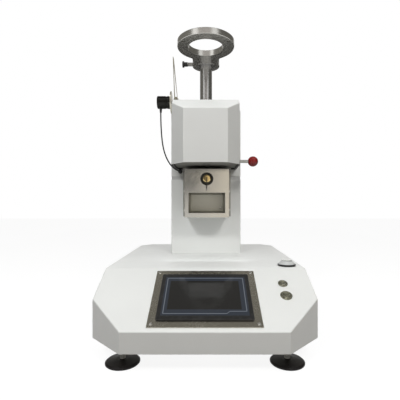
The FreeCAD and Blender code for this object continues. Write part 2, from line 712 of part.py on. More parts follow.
def make_furnace():
    """Everything on the barrel's axis, from the die's guide block up to the mouth."""
    guide_low = f"({SHROUD_LOW} + shroud_floor_rise + sheet_wall)"
    guide_height = f"({BLOCK_LOW} - {guide_low})"
    block = box("guide_form", ("guide_width", "2*guide_half_depth", guide_height),
                ("-guide_width/2", f"{BARREL_Y} - guide_half_depth", guide_low))
    arm = box("guide_arm", ("guide_arm_width", "barrel_reach - guide_half_depth", guide_height),
              ("-guide_arm_width/2", f"{BARREL_Y} + guide_half_depth", guide_low))
    channel = box("guide_channel", ("guide_width", "slide_width + 2*running_gap",
                                    "slide_thickness + 2*running_gap"),
                  ("-guide_width/2", f"{BARREL_Y} - slide_width/2 - running_gap",
                   f"{SLIDE_Z} - slide_thickness/2 - running_gap"))
    way_out = rod("guide_exit", "exit_diameter/2", "barrel_rise", ("0", BARREL_Y, f"{guide_low} - 1"))
    seat = rod("guide_seat", "barrel_diameter/2", "10", ("0", BARREL_Y, BARREL_LOW))
    part("guide_block", cut("guide_block", fuse("guide_body", block, arm), channel, way_out, seat))

    barrel_height = f"({ROOF} + barrel_stand - {BARREL_LOW})"
    barrel = body("barrel")
    half = sketch(barrel, "barrel_half", "XZ_Plane")
    outline(half, [("die_seat/2", "0"), ("barrel_diameter/2", "0"), ("barrel_diameter/2", barrel_height),
                   ("barrel_bore/2", barrel_height), ("barrel_bore/2", "die_length"),
                   ("die_seat/2", "die_length")])
    revolve(barrel, half)
    place(barrel, ("0", BARREL_Y, BARREL_LOW))
    part("barrel", barrel)

    die_low = f"{BARREL_LOW} - die_hang"
    part("die", cut("die", rod("die_form", "die_diameter/2", "die_length", ("0", BARREL_Y, die_low)),
                    rod("die_capillary", "die_bore/2", "die_length", ("0", BARREL_Y, die_low))))

    collar = body("barrel_collar")
    half = sketch(collar, "collar_half", "XZ_Plane")
    inner, outer = "barrel_diameter/2", "collar_diameter/2"
    outline(half, [(inner, "0"), (outer, "0"), (outer, "barrel_stand - 1"), (f"{outer} - 1", "barrel_stand"),
                   (inner, "barrel_stand")])
    revolve(collar, half)
    place(collar, ("0", BARREL_Y, ROOF))
    part("barrel_collar", collar)

    probe_low = "block_height - probe_depth"
    heated = body("furnace_block")
    ring = sketch(heated, "block_ring", "XY_Plane")
    circle(ring, "block_diameter/2")
    circle(ring, "barrel_diameter/2")
    pad(heated, ring, "block_height")
    well = sketch(heated, "probe_well", "XY_Plane")
    circle(well, "probe_diameter/2", "0", "probe_offset")
    drilled = pocket(heated, well, symmetric=True)
    heated.Tip = drilled
    place(heated, ("0", BARREL_Y, BLOCK_LOW))
    part("furnace_block", heated)
    part("temperature_sensor", rod("temperature_sensor", "probe_diameter/2", "probe_depth",
                                   ("0", f"{BARREL_Y} + probe_offset", f"{BLOCK_LOW} + {probe_low}")))

    band = body("heater_band")
    ring = sketch(band, "heater_ring", "XY_Plane")
    circle(ring, "block_diameter/2 + heater_thickness")
    circle(ring, "block_diameter/2")
    pad(band, ring, "block_height - 2*heater_margin")
    place(band, ("0", BARREL_Y, f"{BLOCK_LOW} + heater_margin"))
    part("heater_band", band)

    wool = body("insulation_sleeve")
    half = sketch(wool, "wool_half", "XZ_Plane")
    bore = "block_diameter/2 + heater_thickness"
    outline(half, [(bore, "0"), ("wool_diameter/2", "0"), ("wool_diameter/2", "block_height + wool_lid"),
                   ("wool_neck/2", "block_height + wool_lid"),
                   ("wool_neck/2", "block_height + wool_neck_height"),
                   ("barrel_diameter/2", "block_height + wool_neck_height"),
                   ("barrel_diameter/2", "block_height"), (bore, "block_height")])
    revolve(wool, half)
    place(wool, ("0", BARREL_Y, BLOCK_LOW))
    part("insulation_sleeve", wool)


def make_die_slide():
    low = f"{SLIDE_Z} - slide_thickness/2"
    plate = box("slide_plate", ("slide_left + slide_right", "slide_width", "slide_thickness"),
                ("-slide_left", f"{BARREL_Y} - slide_width/2", low))
    lever = rod("slide_rod", "lever_diameter/2",
                "shroud_width/2 + lever_reach - ball_diameter/4 - slide_right",
                ("slide_right", BARREL_Y, SLIDE_Z), "X")
    hole = rod("slide_exit", "slide_hole/2", "slide_thickness", ("0", BARREL_Y, low))
    part("die_slide", cut("die_slide", fuse("slide_form", plate, lever), hole))

    ball = doc.addObject("Part::Sphere", "ball_form")
    bind(ball, "Radius", "ball_diameter/2")
    place(ball, ("shroud_width/2 + lever_reach", BARREL_Y, SLIDE_Z))
    socket = rod("ball_socket", "lever_diameter/2", "ball_diameter*3/4",
                 ("shroud_width/2 + lever_reach - ball_diameter", BARREL_Y, SLIDE_Z), "X")
    part("lever_ball", cut("lever_ball", ball, socket))


def make_post_and_ring():
    socket_low = f"{ROOF} - post_socket_depth"
    post = body("post")
    half = sketch(post, "post_half", "XZ_Plane")
    top = "(post_socket_depth + ring_rise + ring_thickness + post_stand)"
    outline(half, [("0", "0"), ("post_diameter/2", "0"), ("post_diameter/2", f"{top} - 2"),
                   ("post_diameter/2 - 2", top), ("0", top)])
    revolve(post, half)
    place(post, ("0", POST_Y, socket_low))
    part("post", post)

    flange = body("post_flange")
    plan = sketch(flange, "flange_plan", "XY_Plane")
    circle(plan, "flange_diameter/2")
    circle(plan, "post_diameter/2")
    raised = pad(flange, plan, "flange_thickness")
    doc.recompute()
    rim, high = 2 * math.pi * size("flange_diameter") / 2, size("flange_thickness")
    beveled = chamfer(flange, raised, "1.5",
                      lambda edge: lies_flat(edge, high) and abs(edge.Length - rim) < 0.1)
    hole = sketch(flange, "flange_hole", "XY_Plane")
    circle(hole, "bolt_shank + running_gap", "flange_pitch/2*cos(45)", "flange_pitch/2*sin(45)")
    drilled = pocket(flange, hole, symmetric=True)
    holes = flange.newObject("PartDesign::PolarPattern", "flange_holes")
    holes.Originals = [drilled]
    holes.Axis = (plan, ["N_Axis"])
    holes.Angle = 360
    holes.Occurrences = 4
    flange.Tip = holes
    place(flange, ("0", POST_Y, ROOF))
    part("post_flange", flange)

    bolts, bolt_holes = [], []
    for number in range(4):
        turn = f"{45 + 90 * number}"
        at = (f"flange_pitch/2*cos({turn})", f"{POST_Y} + flange_pitch/2*sin({turn})")
        head = rod(f"flange_head_{number}", "bolt_head", "bolt_head_height",
                   (*at, f"{ROOF} + flange_thickness"))
        shank = rod(f"flange_shank_{number}", "bolt_shank", "bolt_length",
                    (*at, f"{ROOF} + flange_thickness - bolt_length"))
        bolt_holes.append(rod(f"flange_bolt_hole_{number}", "bolt_shank + running_gap", "bolt_length + 2",
                              (*at, f"{ROOF} + flange_thickness - bolt_length - 2")))
        key = doc.addObject("Part::Prism", f"flange_key_{number}")
        key.Polygon = 6
        bind(key, "Circumradius", "bolt_head/2")
        bind(key, "Height", "bolt_head_height/2")
        place(key, (*at, f"{ROOF} + flange_thickness + bolt_head_height/2"))
        bolts.append(cut(f"flange_bolt_{number}", fuse(f"flange_bolt_form_{number}", head, shank), key))
    part("post_flange_screws", group("post_flange_screws", bolts))
    drill("column_head", bolt_holes)

    bush = body("ring_collar")
    half = sketch(bush, "bush_half", "XZ_Plane")
    inner, outer = "post_diameter/2 + running_gap", "bush_diameter/2"
    outline(half, [(inner, "0"), ("bush_flange/2", "0"), ("bush_flange/2", "bush_flange_thickness"),
                   (outer, "bush_flange_thickness"), (outer, "bush_flange_thickness + ring_thickness + 2"),
                   (inner, "bush_flange_thickness + ring_thickness + 2")])
    revolve(bush, half)
    place(bush, ("0", POST_Y, f"{RING_LOW} - bush_flange_thickness"))
    part("ring_collar", bush)

    plate = body("support_ring_form")
    disc = sketch(plate, "ring_disc", "XY_Plane")
    circle(disc, "ring_diameter/2")
    pad(plate, disc, "ring_thickness")
    neck = sketch(plate, "ring_neck", "XY_Plane")
    outline(neck, [("-neck_width/2", "ring_hole/2 + 5"), ("neck_width/2", "ring_hole/2 + 5"),
                   ("neck_width/2", RING_REACH), ("-neck_width/2", RING_REACH)])
    pad(plate, neck, "ring_thickness")
    hub = sketch(plate, "ring_hub", "XY_Plane")
    circle(hub, "hub_radius", "0", RING_REACH)
    merged = pad(plate, hub, "ring_thickness")
    doc.recompute()
    half_neck, reach = size("neck_width") / 2, size("barrel_reach") + size("post_setback")

    def at_root(edge):
        point = edge.BoundBox.Center
        return is_upright(edge) and abs(abs(point.x) - half_neck) < 0.1 and point.y < reach * 0.8

    blended = fillet(plate, merged, "neck_fillet", at_root)
    doc.recompute()
    rim = size("ring_diameter") / 2

    def on_rim(edge):
        flat = edge.BoundBox.ZLength < 0.01
        curved = isinstance(edge.Curve, Part.Circle) and abs(edge.Curve.Radius - rim) < 0.01
        return flat and curved

    chamfer(plate, blended, "ring_edge", on_rim)
    holes = sketch(plate, "ring_holes", "XY_Plane")
    circle(holes, "ring_hole/2")
    circle(holes, "bush_diameter/2 + running_gap", "0", RING_REACH)
    circle(holes, "pin_hole/2", "-pin_x", "-pin_y")
    circle(holes, "pin_hole/2", "pin_x", "-pin_y")
    pocket(plate, holes, symmetric=True)
    slit = sketch(plate, "ring_slit_line", "XY_Plane")
    rectangle(slit, "ring_diameter/2", "ring_slit", "-ring_diameter/2 - 5", "0")
    pocket(plate, slit, symmetric=True)
    place(plate, ("0", BARREL_Y, RING_LOW))
    screw_z = f"({RING_LOW} + ring_thickness*0.42)"
    clamp_hole = rod("clamp_hole", "clamp_diameter/2 + running_gap", "hub_radius + 5",
                     ("-hub_radius - 5", POST_Y, screw_z), "X")
    part("support_ring", cut("support_ring", plate, clamp_hole))

    screw = body("clamp_screw")
    half = sketch(screw, "clamp_half", "XZ_Plane")
    stem = "(clamp_head + clamp_neck + clamp_stand + hub_radius - bush_diameter/2 - clamp_tip_gap)"
    outline(half, [("0", "0"), ("clamp_head_diameter/2 - 1", "0"), ("clamp_head_diameter/2", "1"),
                   ("clamp_head_diameter/2", "clamp_head"), ("clamp_neck_diameter/2", "clamp_head"),
                   ("clamp_neck_diameter/2", "clamp_head + clamp_neck"),
                   ("clamp_diameter/2", "clamp_head + clamp_neck"), ("clamp_diameter/2", stem), ("0", stem)])
    revolve(screw, half)
    place(screw, ("-hub_radius - clamp_stand - clamp_neck - clamp_head", POST_Y, screw_z), "X")
    part("clamp_screw", screw)


def make_cutter():
    low = f"({BOX_TOP} - box_height)"
    inside = "(box_width - 2*sheet_wall)"
    case = body("cutter_box")
    plan = sketch(case, "box_front", "XZ_Plane")
    rectangle(plan, "box_width", "box_height", "0", "box_height/2")
    pad(case, plan, "box_depth")
    cavity = sketch(case, "box_cavity", "XZ_Plane")
    rectangle(cavity, inside, "box_height - 2*sheet_wall", "0", "box_height/2")
    room = case.newObject("PartDesign::Pocket", "box_cavity_pocket")
    room.Profile = cavity
    room.Type = "Length"
    room.SideType = "One side"
    room.Reversed = True
    bind(room, "Length", "box_depth")
    flanges = sketch(case, "box_flanges", "XZ_Plane")
    rectangle(flanges, "box_width + 2*box_flange", "box_height", "0", "box_height/2")
    pad(case, flanges, "sheet_wall")
    place(case, (CUTTER_X, COLUMN_FRONT, low))
    part("cutter_box", case)

    face = body("cutter_faceplate")
    drawing = sketch(face, "faceplate_outline", "XZ_Plane")
    rectangle(drawing, "box_width", "box_height", "0", "box_height/2")
    rectangle(drawing, "niche_width", "niche_height", "0", "niche_rise + niche_height/2")
    circle(drawing, "cutter_opening/2", "0", "box_height + box_drop - cutter_drop")
    pad(face, drawing, "face_thickness", backwards=True)
    place(face, (CUTTER_X, FACE_Y, low))
    part("cutter_faceplate", face)

    liner = body("niche_liner")
    depth = f"(niche_depth - face_thickness)"
    for name, grow, extra in (("outer", "2*liner_wall", "liner_wall"), ("inner", "0", "0")):
        drawing = sketch(liner, f"niche_{name}", "XZ_Plane")
        rectangle(drawing, f"niche_width + {grow}", f"niche_height + {grow}", "0", "niche_height/2")
        kind = "PartDesign::Pad" if name == "outer" else "PartDesign::Pocket"
        feature = liner.newObject(kind, f"niche_{name}_form")
        feature.Profile = drawing
        feature.Reversed = name == "outer"
        bind(feature, "Length", f"{depth} + {extra}")
        bind(feature, "TaperAngle", "-niche_taper")
    place(liner, (CUTTER_X, f"{FACE_Y} + face_thickness", f"{low} + niche_rise"))
    part("niche_liner", liner)

    part("opening_ring", cut(
        "opening_ring",
        fuse("opening_ring_form",
             rod("opening_sleeve", "cutter_opening/2", "face_thickness", (CUTTER_X, FACE_Y, CUTTER_Z), "Y"),
             rod("opening_flange", "cutter_opening/2 + opening_lip", "opening_lip",
                 (CUTTER_X, f"{FACE_Y} - opening_lip", CUTTER_Z), "Y")),
        rod("opening_bore", "opening_ring_bore/2", "20", (CUTTER_X, f"{FACE_Y} - 10", CUTTER_Z), "Y")))

    bracket_low = f"({low} + niche_rise + niche_height + liner_wall + bracket_gap)"
    bracket_height = f"({BOX_TOP} - sheet_wall - {bracket_low})"
    bracket_y = f"({FACE_Y} + bracket_setback)"
    web = box("bracket_web", (inside, "bracket_thickness", bracket_height),
              (f"{CUTTER_X} - {inside}/2", bracket_y, bracket_low))
    nose = rod("bracket_nose", "bearing_diameter/2", "bracket_setback - bearing_setback",
               (CUTTER_X, f"{FACE_Y} + bearing_setback", CUTTER_Z), "Y")
    bearing = rod("bearing_bore", "spindle_diameter/2 + running_gap", "bracket_setback + 10",
                  (CUTTER_X, FACE_Y, CUTTER_Z), "Y")
    part("motor_bracket", cut("motor_bracket", fuse("bracket_form", web, nose), bearing))

    motor_y = f"({bracket_y} + bracket_thickness)"
    drum = rod("motor_drum", "motor_diameter/2", "motor_length", (CUTTER_X, motor_y, CUTTER_Z), "Y")
    chuck = rod("motor_chuck", "spindle_diameter/2 + running_gap", "spindle_tail + 1",
                (CUTTER_X, motor_y, CUTTER_Z), "Y")
    part("cutter_motor", cut("cutter_motor", drum, chuck))

    hub_front = f"({FACE_Y} - hub_stand)"
    part("cutter_shaft", rod("cutter_shaft", "spindle_diameter/2",
                             "hub_stand - blade_width + bracket_setback + bracket_thickness + spindle_tail",
                             (CUTTER_X, f"{hub_front} + blade_width", CUTTER_Z), "Y"))
    hub = body("cutter_hub_form")
    half = sketch(hub, "cutter_hub_half", "XZ_Plane")
    edge = "hub_diameter/2"
    outline(half, [("0", "0"), (f"{edge} - 2", "0"), (edge, "2"), (edge, "hub_length - 3"),
                   (f"{edge} - 3", "hub_length"), ("0", "hub_length")])
    revolve(hub, half)
    place(hub, (CUTTER_X, hub_front, CUTTER_Z), "Y")
    bore = rod("hub_bore", "spindle_diameter/2", "hub_length",
               (CUTTER_X, f"{hub_front} + blade_width", CUTTER_Z), "Y")
    slot = box("hub_slot", ("blade_thickness", "blade_width", "hub_diameter"),
               (f"{CUTTER_X} - blade_thickness/2", hub_front,
                f"{CUTTER_Z} + hub_diameter/4 - hub_diameter"))
    part("cutter_hub", cut("cutter_hub", hub, bore, slot))
    blade = body("cutter_blade")
    drawing = sketch(blade, "blade_side", "YZ_Plane")
    outline(drawing, [("0", "-blade_radius"), ("blade_width*0.6", "-blade_radius"),
                      ("blade_width", "-blade_radius + blade_width*0.6"), ("blade_width", "hub_diameter/4"),
                      ("0", "hub_diameter/4")])
    pad(blade, drawing, "blade_thickness", symmetric=True)
    place(blade, (CUTTER_X, hub_front, CUTTER_Z))
    part("cutter_blade", blade)


def make_screen():
    frame = body("screen_frame")
    drawing = sketch(frame, "screen_frame_plan", "XY_Plane")
    rectangle(drawing, "screen_frame_width", "screen_frame_height", "0", "screen_centre")
    rectangle(drawing, "case_width + 2*cutout_margin", "case_height + 2*cutout_margin", "0", "screen_centre")
    pad(frame, drawing, "screen_frame_thickness")
    place_on_slope(frame)
    part("screen_frame", frame)

    bezel = body("display_bezel")
    drawing = sketch(bezel, "bezel_plan", "XY_Plane")
    rectangle(drawing, "screen_width", "screen_height", "0", "screen_centre")
    slab = pad(bezel, drawing, "screen_bezel")
    rounded = fillet(bezel, slab, "screen_corner", is_upright)
    doc.recompute()
    high = rounded.Shape.BoundBox.ZMax
    chamfer(bezel, rounded, "1", lambda edge: lies_flat(edge, high))
    seat = sketch(bezel, "glass_seat", "XY_Plane")
    rectangle(seat, "glass_width", "glass_height", "0", "screen_centre")
    recess = pocket(bezel, seat, "screen_bezel", backwards=True)
    core = sketch(bezel, "glass_bed", "XY_Plane")
    rectangle(core, "glass_width", "glass_height", "0", "screen_centre")
    pad(bezel, core, "screen_bezel - glass_recess")
    place_on_slope(bezel, out="screen_frame_thickness")
    part("display_bezel", bezel)

    glass = box("display_glass", ("glass_width", "glass_height", "glass_recess - 0.2"))
    place_on_slope(glass, "-glass_width/2", "screen_centre - glass_height/2",
                   "screen_frame_thickness + screen_bezel - glass_recess")
    part("display_glass", glass)

    case = box("display_case", ("case_width", "case_height", "case_depth + screen_frame_thickness"))
    place_on_slope(case, "-case_width/2", "screen_centre - case_height/2", "-case_depth")
    part("display_case", case)


def make_buttons():
    for kind in ("small", "large"):
        flange, hole = f"button_{kind}_flange/2", f"button_{kind}_hole/2"
        bore = f"({hole} - button_wall + running_gap)"
        shell = body(f"button_body_{kind}")
        half = sketch(shell, f"button_{kind}_half", "XZ_Plane")
        outline(half, [("0", "-button_depth"), (hole, "-button_depth"), (hole, "0"), (flange, "0"),
                       (flange, "button_lip - 0.8"), (f"{flange} - 1.2", "button_lip"),
                       (bore, "button_lip"), (bore, "-button_seat"), ("0", "-button_seat")])
        revolve(shell, half)
        place_on_slope(shell, BUTTON_X, f"button_{kind}_up")
        part(f"button_body_{kind}", shell)

        cap = body(f"button_cap_{kind}")
        half = sketch(cap, f"cap_{kind}_half", "XZ_Plane")
        edge, top = f"({hole} - button_wall)", "(button_lip + button_stand)"
        outline(half, [("0", "-button_skirt"), (edge, "-button_skirt"), (edge, f"{top} - 0.8"),
                       (f"{edge} - 0.8", top), (f"{edge} - 2.5", top), (f"{edge} - 3.2", f"{top} - 0.5"),
                       ("0", f"{top} - 0.5")])
        revolve(cap, half)
        place_on_slope(cap, BUTTON_X, f"button_{kind}_up")
        part(f"button_cap_{kind}", cap)


def make_level():
    """Bubble level on the flat top: black foot ring, conical holder and domed glass."""
    seat = (LEVEL_X, f"{FRONT} + level_setback", TABLE)
    edge, bore, room = "level_diameter/2", "level_glass_diameter/2", "level_height - level_glass_depth"
    inside = f"{edge} - level_ring_wall"

    ring = body("level_ring")
    half = sketch(ring, "level_ring_half", "XZ_Plane")
    outline(half, [(inside, "0"), (edge, "0"), (edge, "level_ring_height - 1"),
                   (f"{edge} - 1", "level_ring_height"), (inside, "level_ring_height")])
    revolve(ring, half)
    place(ring, seat)
    part("level_ring", ring)

    holder = body("level_body")
    half = sketch(holder, "level_half", "XZ_Plane")
    rim = f"({bore} + level_rim)"
    outline(half, [("0", "0"), (inside, "0"), (inside, "level_ring_height"),
                   (f"{edge} - 2", "level_ring_height"), (f"{rim} + 1", "level_height - 2"),
                   (rim, "level_height - 1.5"), (rim, "level_height"), (bore, "level_height"), (bore, room),
                   ("0", room)])
    revolve(holder, half)
    place(holder, seat)
    part("level_body", holder)

    glass = body("level_glass")
    half = sketch(glass, "level_glass_half", "XZ_Plane")
    outline(half, [("0", "0"), (bore, "0"), (bore, "level_glass_depth"),
                   (f"{bore} - 1.5", "level_glass_depth + 0.8"), ("0", "level_glass_depth + 1.2")])
    revolve(glass, half)
    place(glass, (*seat[:2], f"{TABLE} + {room}"))
    part("level_glass", glass)


def make_encoder():
    outer = f"({DISC_X} - encoder_disc_thickness)"
    axis = (ENCODER_Y, ENCODER_Z)
    disc = rod("disc_form", "encoder_disc/2", "encoder_disc_thickness", (outer, *axis), "X")
    spacers = [rod(f"spacer_{side}", "spacer_radius", "encoder_spacer",
                   (DISC_X, f"{ENCODER_Y} {sign} spacer_offset", f"{ENCODER_Z} - spacer_offset"), "X")
               for side, sign in (("front", "-"), ("rear", "+"))]
    hole = rod("disc_hole", "encoder_shaft_diameter/2 + running_gap", "encoder_disc_thickness",
               (outer, *axis), "X")
    part("encoder_flange", cut("encoder_flange", fuse("flange_form", disc, *spacers), hole))

    shell = body("encoder_form")
    half = sketch(shell, "encoder_half", "XZ_Plane")
    radius = "encoder_diameter/2"
    outline(half, [("0", "0"), (f"{radius} - 1.5", "0"), (radius, "1.5"), (radius, "encoder_length*0.62"),
                   (f"{radius} - 1", "encoder_length*0.62 + 1"), (f"{radius} - 1", "encoder_length*0.72"),
                   (radius, "encoder_length*0.72 + 1"), (radius, "encoder_length"), ("0", "encoder_length")])
    revolve(shell, half)
    place(shell, (f"{outer} - encoder_length", *axis), "X")
    shaft_hole = rod("encoder_bore", "encoder_shaft_diameter/2 + running_gap", "encoder_shaft_tail + 1",
                     (f"{outer} - encoder_shaft_tail - 1", *axis), "X")
    part("encoder_body", cut("encoder_body", shell, shaft_hole))

    boot_x = f"({outer} - encoder_length + boot_from_end)"
    boot = taper("boot_form", "boot_end_radius", "boot_radius", "boot_length + 6",
                 (boot_x, ENCODER_Y, f"{ENCODER_Z} - encoder_diameter/2 - boot_length"))
    core = rod("boot_seat", radius, "encoder_length", (f"{outer} - encoder_length", *axis), "X")
    part("encoder_boot", cut("encoder_boot", boot, core))

    hub_left = f"({DISC_X} + arm_hub_gap)"
    part("encoder_shaft", rod("encoder_shaft", "encoder_shaft_diameter/2",
                              "encoder_shaft_tail + encoder_disc_thickness + arm_hub_gap + arm_hub_length",
                              (f"{outer} - encoder_shaft_tail", *axis), "X"))
    hub = rod("arm_hub", "arm_hub_diameter/2", "arm_hub_length", (hub_left, *axis), "X")

    # Seen from the front the arm is a tall narrow A of sheet, and from the side it tapers to its tip
    strips = body("arm_strips")
    front = sketch(strips, "arm_front", "XZ_Plane")
    tip, wide = "arm_length", "(arm_hub_length - 1.4)"
    outline(front, [("2.2", "0"), (wide, "0"), ("-arm_lean + 2*arm_strip", f"{tip} - 6"),
                    ("-arm_lean + arm_strip", tip), ("-arm_lean", tip)])
    outline(front, [("2.2 + arm_strip", "arm_hub_diameter/2 + 3"),
                    (f"{wide} - 1.5*arm_strip", "arm_hub_diameter/2 + 3"),
                    ("-arm_lean + 1.3*arm_strip", f"{tip}*0.84")])
    pad(strips, front, "arm_depth", symmetric=True)
    place(strips, (hub_left, *axis))
    side = body("arm_side")
    view = sketch(side, "arm_taper", "YZ_Plane")
    outline(view, [("-arm_depth/2", "0"), ("arm_depth/2", "0"), ("arm_tip_depth/2", tip),
                   ("-arm_tip_depth/2", tip)])
    pad(side, view, "8*arm_hub_length", symmetric=True)
    place(side, (hub_left, *axis))
    tapered = common("arm_tapered", strips, side)
    bore = rod("arm_bore", "encoder_shaft_diameter/2", "arm_hub_length", (hub_left, *axis), "X")
    part("measuring_arm", cut("measuring_arm", fuse("arm_form", hub, tapered), bore))


# Route of the encoder cable from the boot to the gland, as shares of the way across, back and down
CABLE_ROUTE = [
    (0, 0, 0), (0, 0, 0.09), (0.013, -0.02, 0.226), (0.043, -0.07, 0.379), (0.095, -0.14, 0.531),
    (0.18, -0.20, 0.667), (0.32, -0.27, 0.791), (0.49, -0.30, 0.887), (0.657, -0.23, 0.949),
    (0.815, -0.05, 0.986), (0.944, 0.25, 1), (1, 0.61, 1), (1, 1, 1),
]


def tube_path(points):
    """Straight runs joined by arcs as large as the runs allow, and each arc's radius."""
    edges, radii, start = [], [], points[0]
    for before, corner, after in zip(points, points[1:], points[2:]):
        back, ahead = before - corner, after - corner
        reach = 0.45 * min(back.Length, ahead.Length)
        back.normalize()
        ahead.normalize()
        half_turn = (math.pi - back.getAngle(ahead)) / 2
        radii.append(reach / math.tan(half_turn))
        first, last = corner + back * reach, corner + ahead * reach
        inward = (back + ahead).normalize()
        middle = corner + inward * (radii[-1] / math.cos(half_turn) - radii[-1])
        edges += [Part.LineSegment(start, first).toShape(), Part.Arc(first, middle, last).toShape()]
        start = last
    edges.append(Part.LineSegment(start, points[-1]).toShape())
    return Part.Wire(edges), radii


def make_cable():
    """The encoder's cable, and the gland that it enters on the column's front."""
    column = size("column_setback") - (size("base_depth") + size("inlet_lip")) / 2
    roof = size("foot_height") + size("base_height") + size("column_height")
    disc = -size("shroud_width") / 2 - size("encoder_spacer") - size("encoder_disc_thickness")
    leave = Vector(disc - size("encoder_length") + size("boot_from_end"), column - size("encoder_reach"),
                   roof + size("encoder_rise") - size("encoder_diameter") / 2 - size("boot_length"))
    enter = Vector(size("gland_inset") - size("column_width") / 2,
                   column - size("gland_nut") - size("gland_nose"),
                   roof - size("shroud_height") - size("gland_drop"))
    way = enter - leave
    route = [leave + Vector(way.x * across, way.y * back, way.z * down)
             for across, back, down in CABLE_ROUTE]
    print("cable route", [tuple(round(value, 1) for value in point) for point in route])
    path, radii = tube_path(route)
    section = Part.Wire(Part.makeCircle(size("cable_diameter") / 2, route[0], route[1] - route[0]))
    tube = path.makePipeShell([section], True, True)
    area = math.pi * size("cable_diameter") ** 2 / 4
    print("cable radii", [round(radius) for radius in radii], "length", round(path.Length, 1),
          "volume ratio", round(tube.Volume / (area * path.Length), 4))
    cable = doc.addObject("Part::Feature", "encoder_cable")
    cable.Shape = tube
    cable.Placement = Placement()
    part("encoder_cable", cable)

    height = f"{SHROUD_LOW} - gland_drop"
    nut = rod("gland_body", "gland_radius", "gland_nut",
              (GLAND_X, f"{COLUMN_FRONT} - gland_nut", height), "Y")
    nose = taper("gland_nose_form", "gland_end_radius", "gland_radius - 1", "gland_nose",
                 (GLAND_X, f"{COLUMN_FRONT} - gland_nut - gland_nose", height), "Y")
    tail = rod("gland_tail", "gland_radius*0.7", "sheet_wall + 3", (GLAND_X, COLUMN_FRONT, height), "Y")
    part("cable_gland", fuse("cable_gland", nut, nose, tail))
    drill("column_head", [rod("gland_cut", "gland_radius*0.7 + running_gap", "20",
                              (GLAND_X, f"{COLUMN_FRONT} - 10", height), "Y")])


def make_inlet():
    """Mains inlet on the rear face of the base, with its three pins."""
    z = "(foot_height + inlet_rise)"
    flange = centred_box("inlet_flange", ("inlet_width", "inlet_lip", "inlet_height"),
                         (INLET_X, f"{REAR} + inlet_lip/2", f"{z} - inlet_height/2"))
    socket = centred_box("inlet_body", ("inlet_body_width", "inlet_body_depth", "inlet_body_height"),
                         (INLET_X, f"{REAR} - inlet_body_depth/2", f"{z} - inlet_body_height/2"))
    well = centred_box("inlet_well", ("inlet_well_width", "inlet_well_depth", "inlet_well_height"),
                       (INLET_X, f"{REAR} + inlet_lip - inlet_well_depth/2", f"{z} - inlet_well_height/2"))
    shell = cut("inlet_shell", fuse("inlet_form", flange, socket), well)
    pins = [centred_box(f"inlet_pin_{number}", ("2", "inlet_well_depth", "4"),
                        (f"{INLET_X} + {across}", f"{REAR} - inlet_well_depth/2 + 1", f"{z} + {up}"))
            for number, (across, up) in enumerate(((-6, -5), (0, 1), (6, -5)))]
    part("power_inlet", fuse("power_inlet", shell, *pins))


def small_screw(name, at, axis, on_slope=False):
    """A pan-head screw on a surface, its shank inwards, and the hole it needs."""
    screw = body(name)
    half = sketch(screw, name + "_half", "XZ_Plane")
    outline(half, [("0", "-screw_length"), ("screw_shank", "-screw_length"), ("screw_shank", "0"),
                   ("screw_head", "0"), ("screw_head", "screw_head_height*0.4"),
                   ("screw_head*0.6", "screw_head_height"), ("0", "screw_head_height")])
    revolve(screw, half)
    hole = rod(name + "_hole", "screw_shank + running_gap", "screw_length + 1")
    seat = doc.addObject("Part::Compound", name + "_seat")
    seat.Links = [hole]
    bind(hole, "Placement.Base.z", "-screw_length - 0.5")
    for item in (screw, seat):
        if on_slope:
            place_on_slope(item, *at)
        else:
            place(item, at, axis)
    return screw, seat


def make_screws():
    """All the small pan-head screws, and their holes in the sheets they hold."""
    screws = []
    for side, sign in (("left", "-"), ("right", "+")):
        across = f"{sign}(screen_frame_width/2 - screw_inset)"
        for level, up in (("low", "screen_centre - screen_frame_height/2 + screw_inset"),
                          ("high", "screen_centre + screen_frame_height/2 - screw_inset")):
            screws.append(small_screw(f"frame_screw_{side}_{level}",
                                      (across, up, "screen_frame_thickness"), "Z", on_slope=True))
        flange = f"{CUTTER_X} {sign} (box_width/2 + box_flange*0.55)"
        for level, up in (("low", "20"), ("high", "box_height - 63")):
            at = (flange, f"{COLUMN_FRONT} - sheet_wall", f"{BOX_TOP} - box_height + {up}")
            screws.append(small_screw(f"box_screw_{side}_{level}", at, "-Y"))
        cover = f"{sign}(cover_width/2 - screw_inset)"
        for level, up in (("low", "screw_inset"), ("middle", "cover_height/2"),
                          ("high", "cover_height - screw_inset")):
            at = (cover, f"{COLUMN_REAR} + cover_thickness", f"{TABLE} + cover_rise + {up}")
            screws.append(small_screw(f"cover_screw_{side}_{level}", at, "Y"))
    screws.append(small_screw("niche_screw", (f"{CUTTER_X} + 42", f"{FACE_Y} + niche_depth",
                                              f"{BOX_TOP} - box_height + niche_rise + 15"), "-Y"))
    part("panel_screws", group("panel_screws", [screw for screw, hole in screws]))
    holes = [hole for screw, hole in screws]
    for label in ("base_housing", "screen_frame", "cutter_box", "niche_liner", "column_lower",
                  "column_rear_cover"):
        drill(label, holes)


make_base()
make_feet()
make_column()
make_shroud()
make_furnace()
make_die_slide()
make_post_and_ring()
make_cutter()
make_screen()
make_buttons()
make_level()
make_encoder()
make_cable()
make_inlet()
make_screws()
doc.recompute()

wrong = [item.Label for item in doc.Objects if {"Invalid", "Error"} & set(item.State)]
if wrong:
    raise RuntimeError(f"not computed: {wrong}")
for label, item in parts.items():
    if item.Shape.isNull() or not item.Shape.isValid():
        raise RuntimeError(f"{label} has no sound shape")

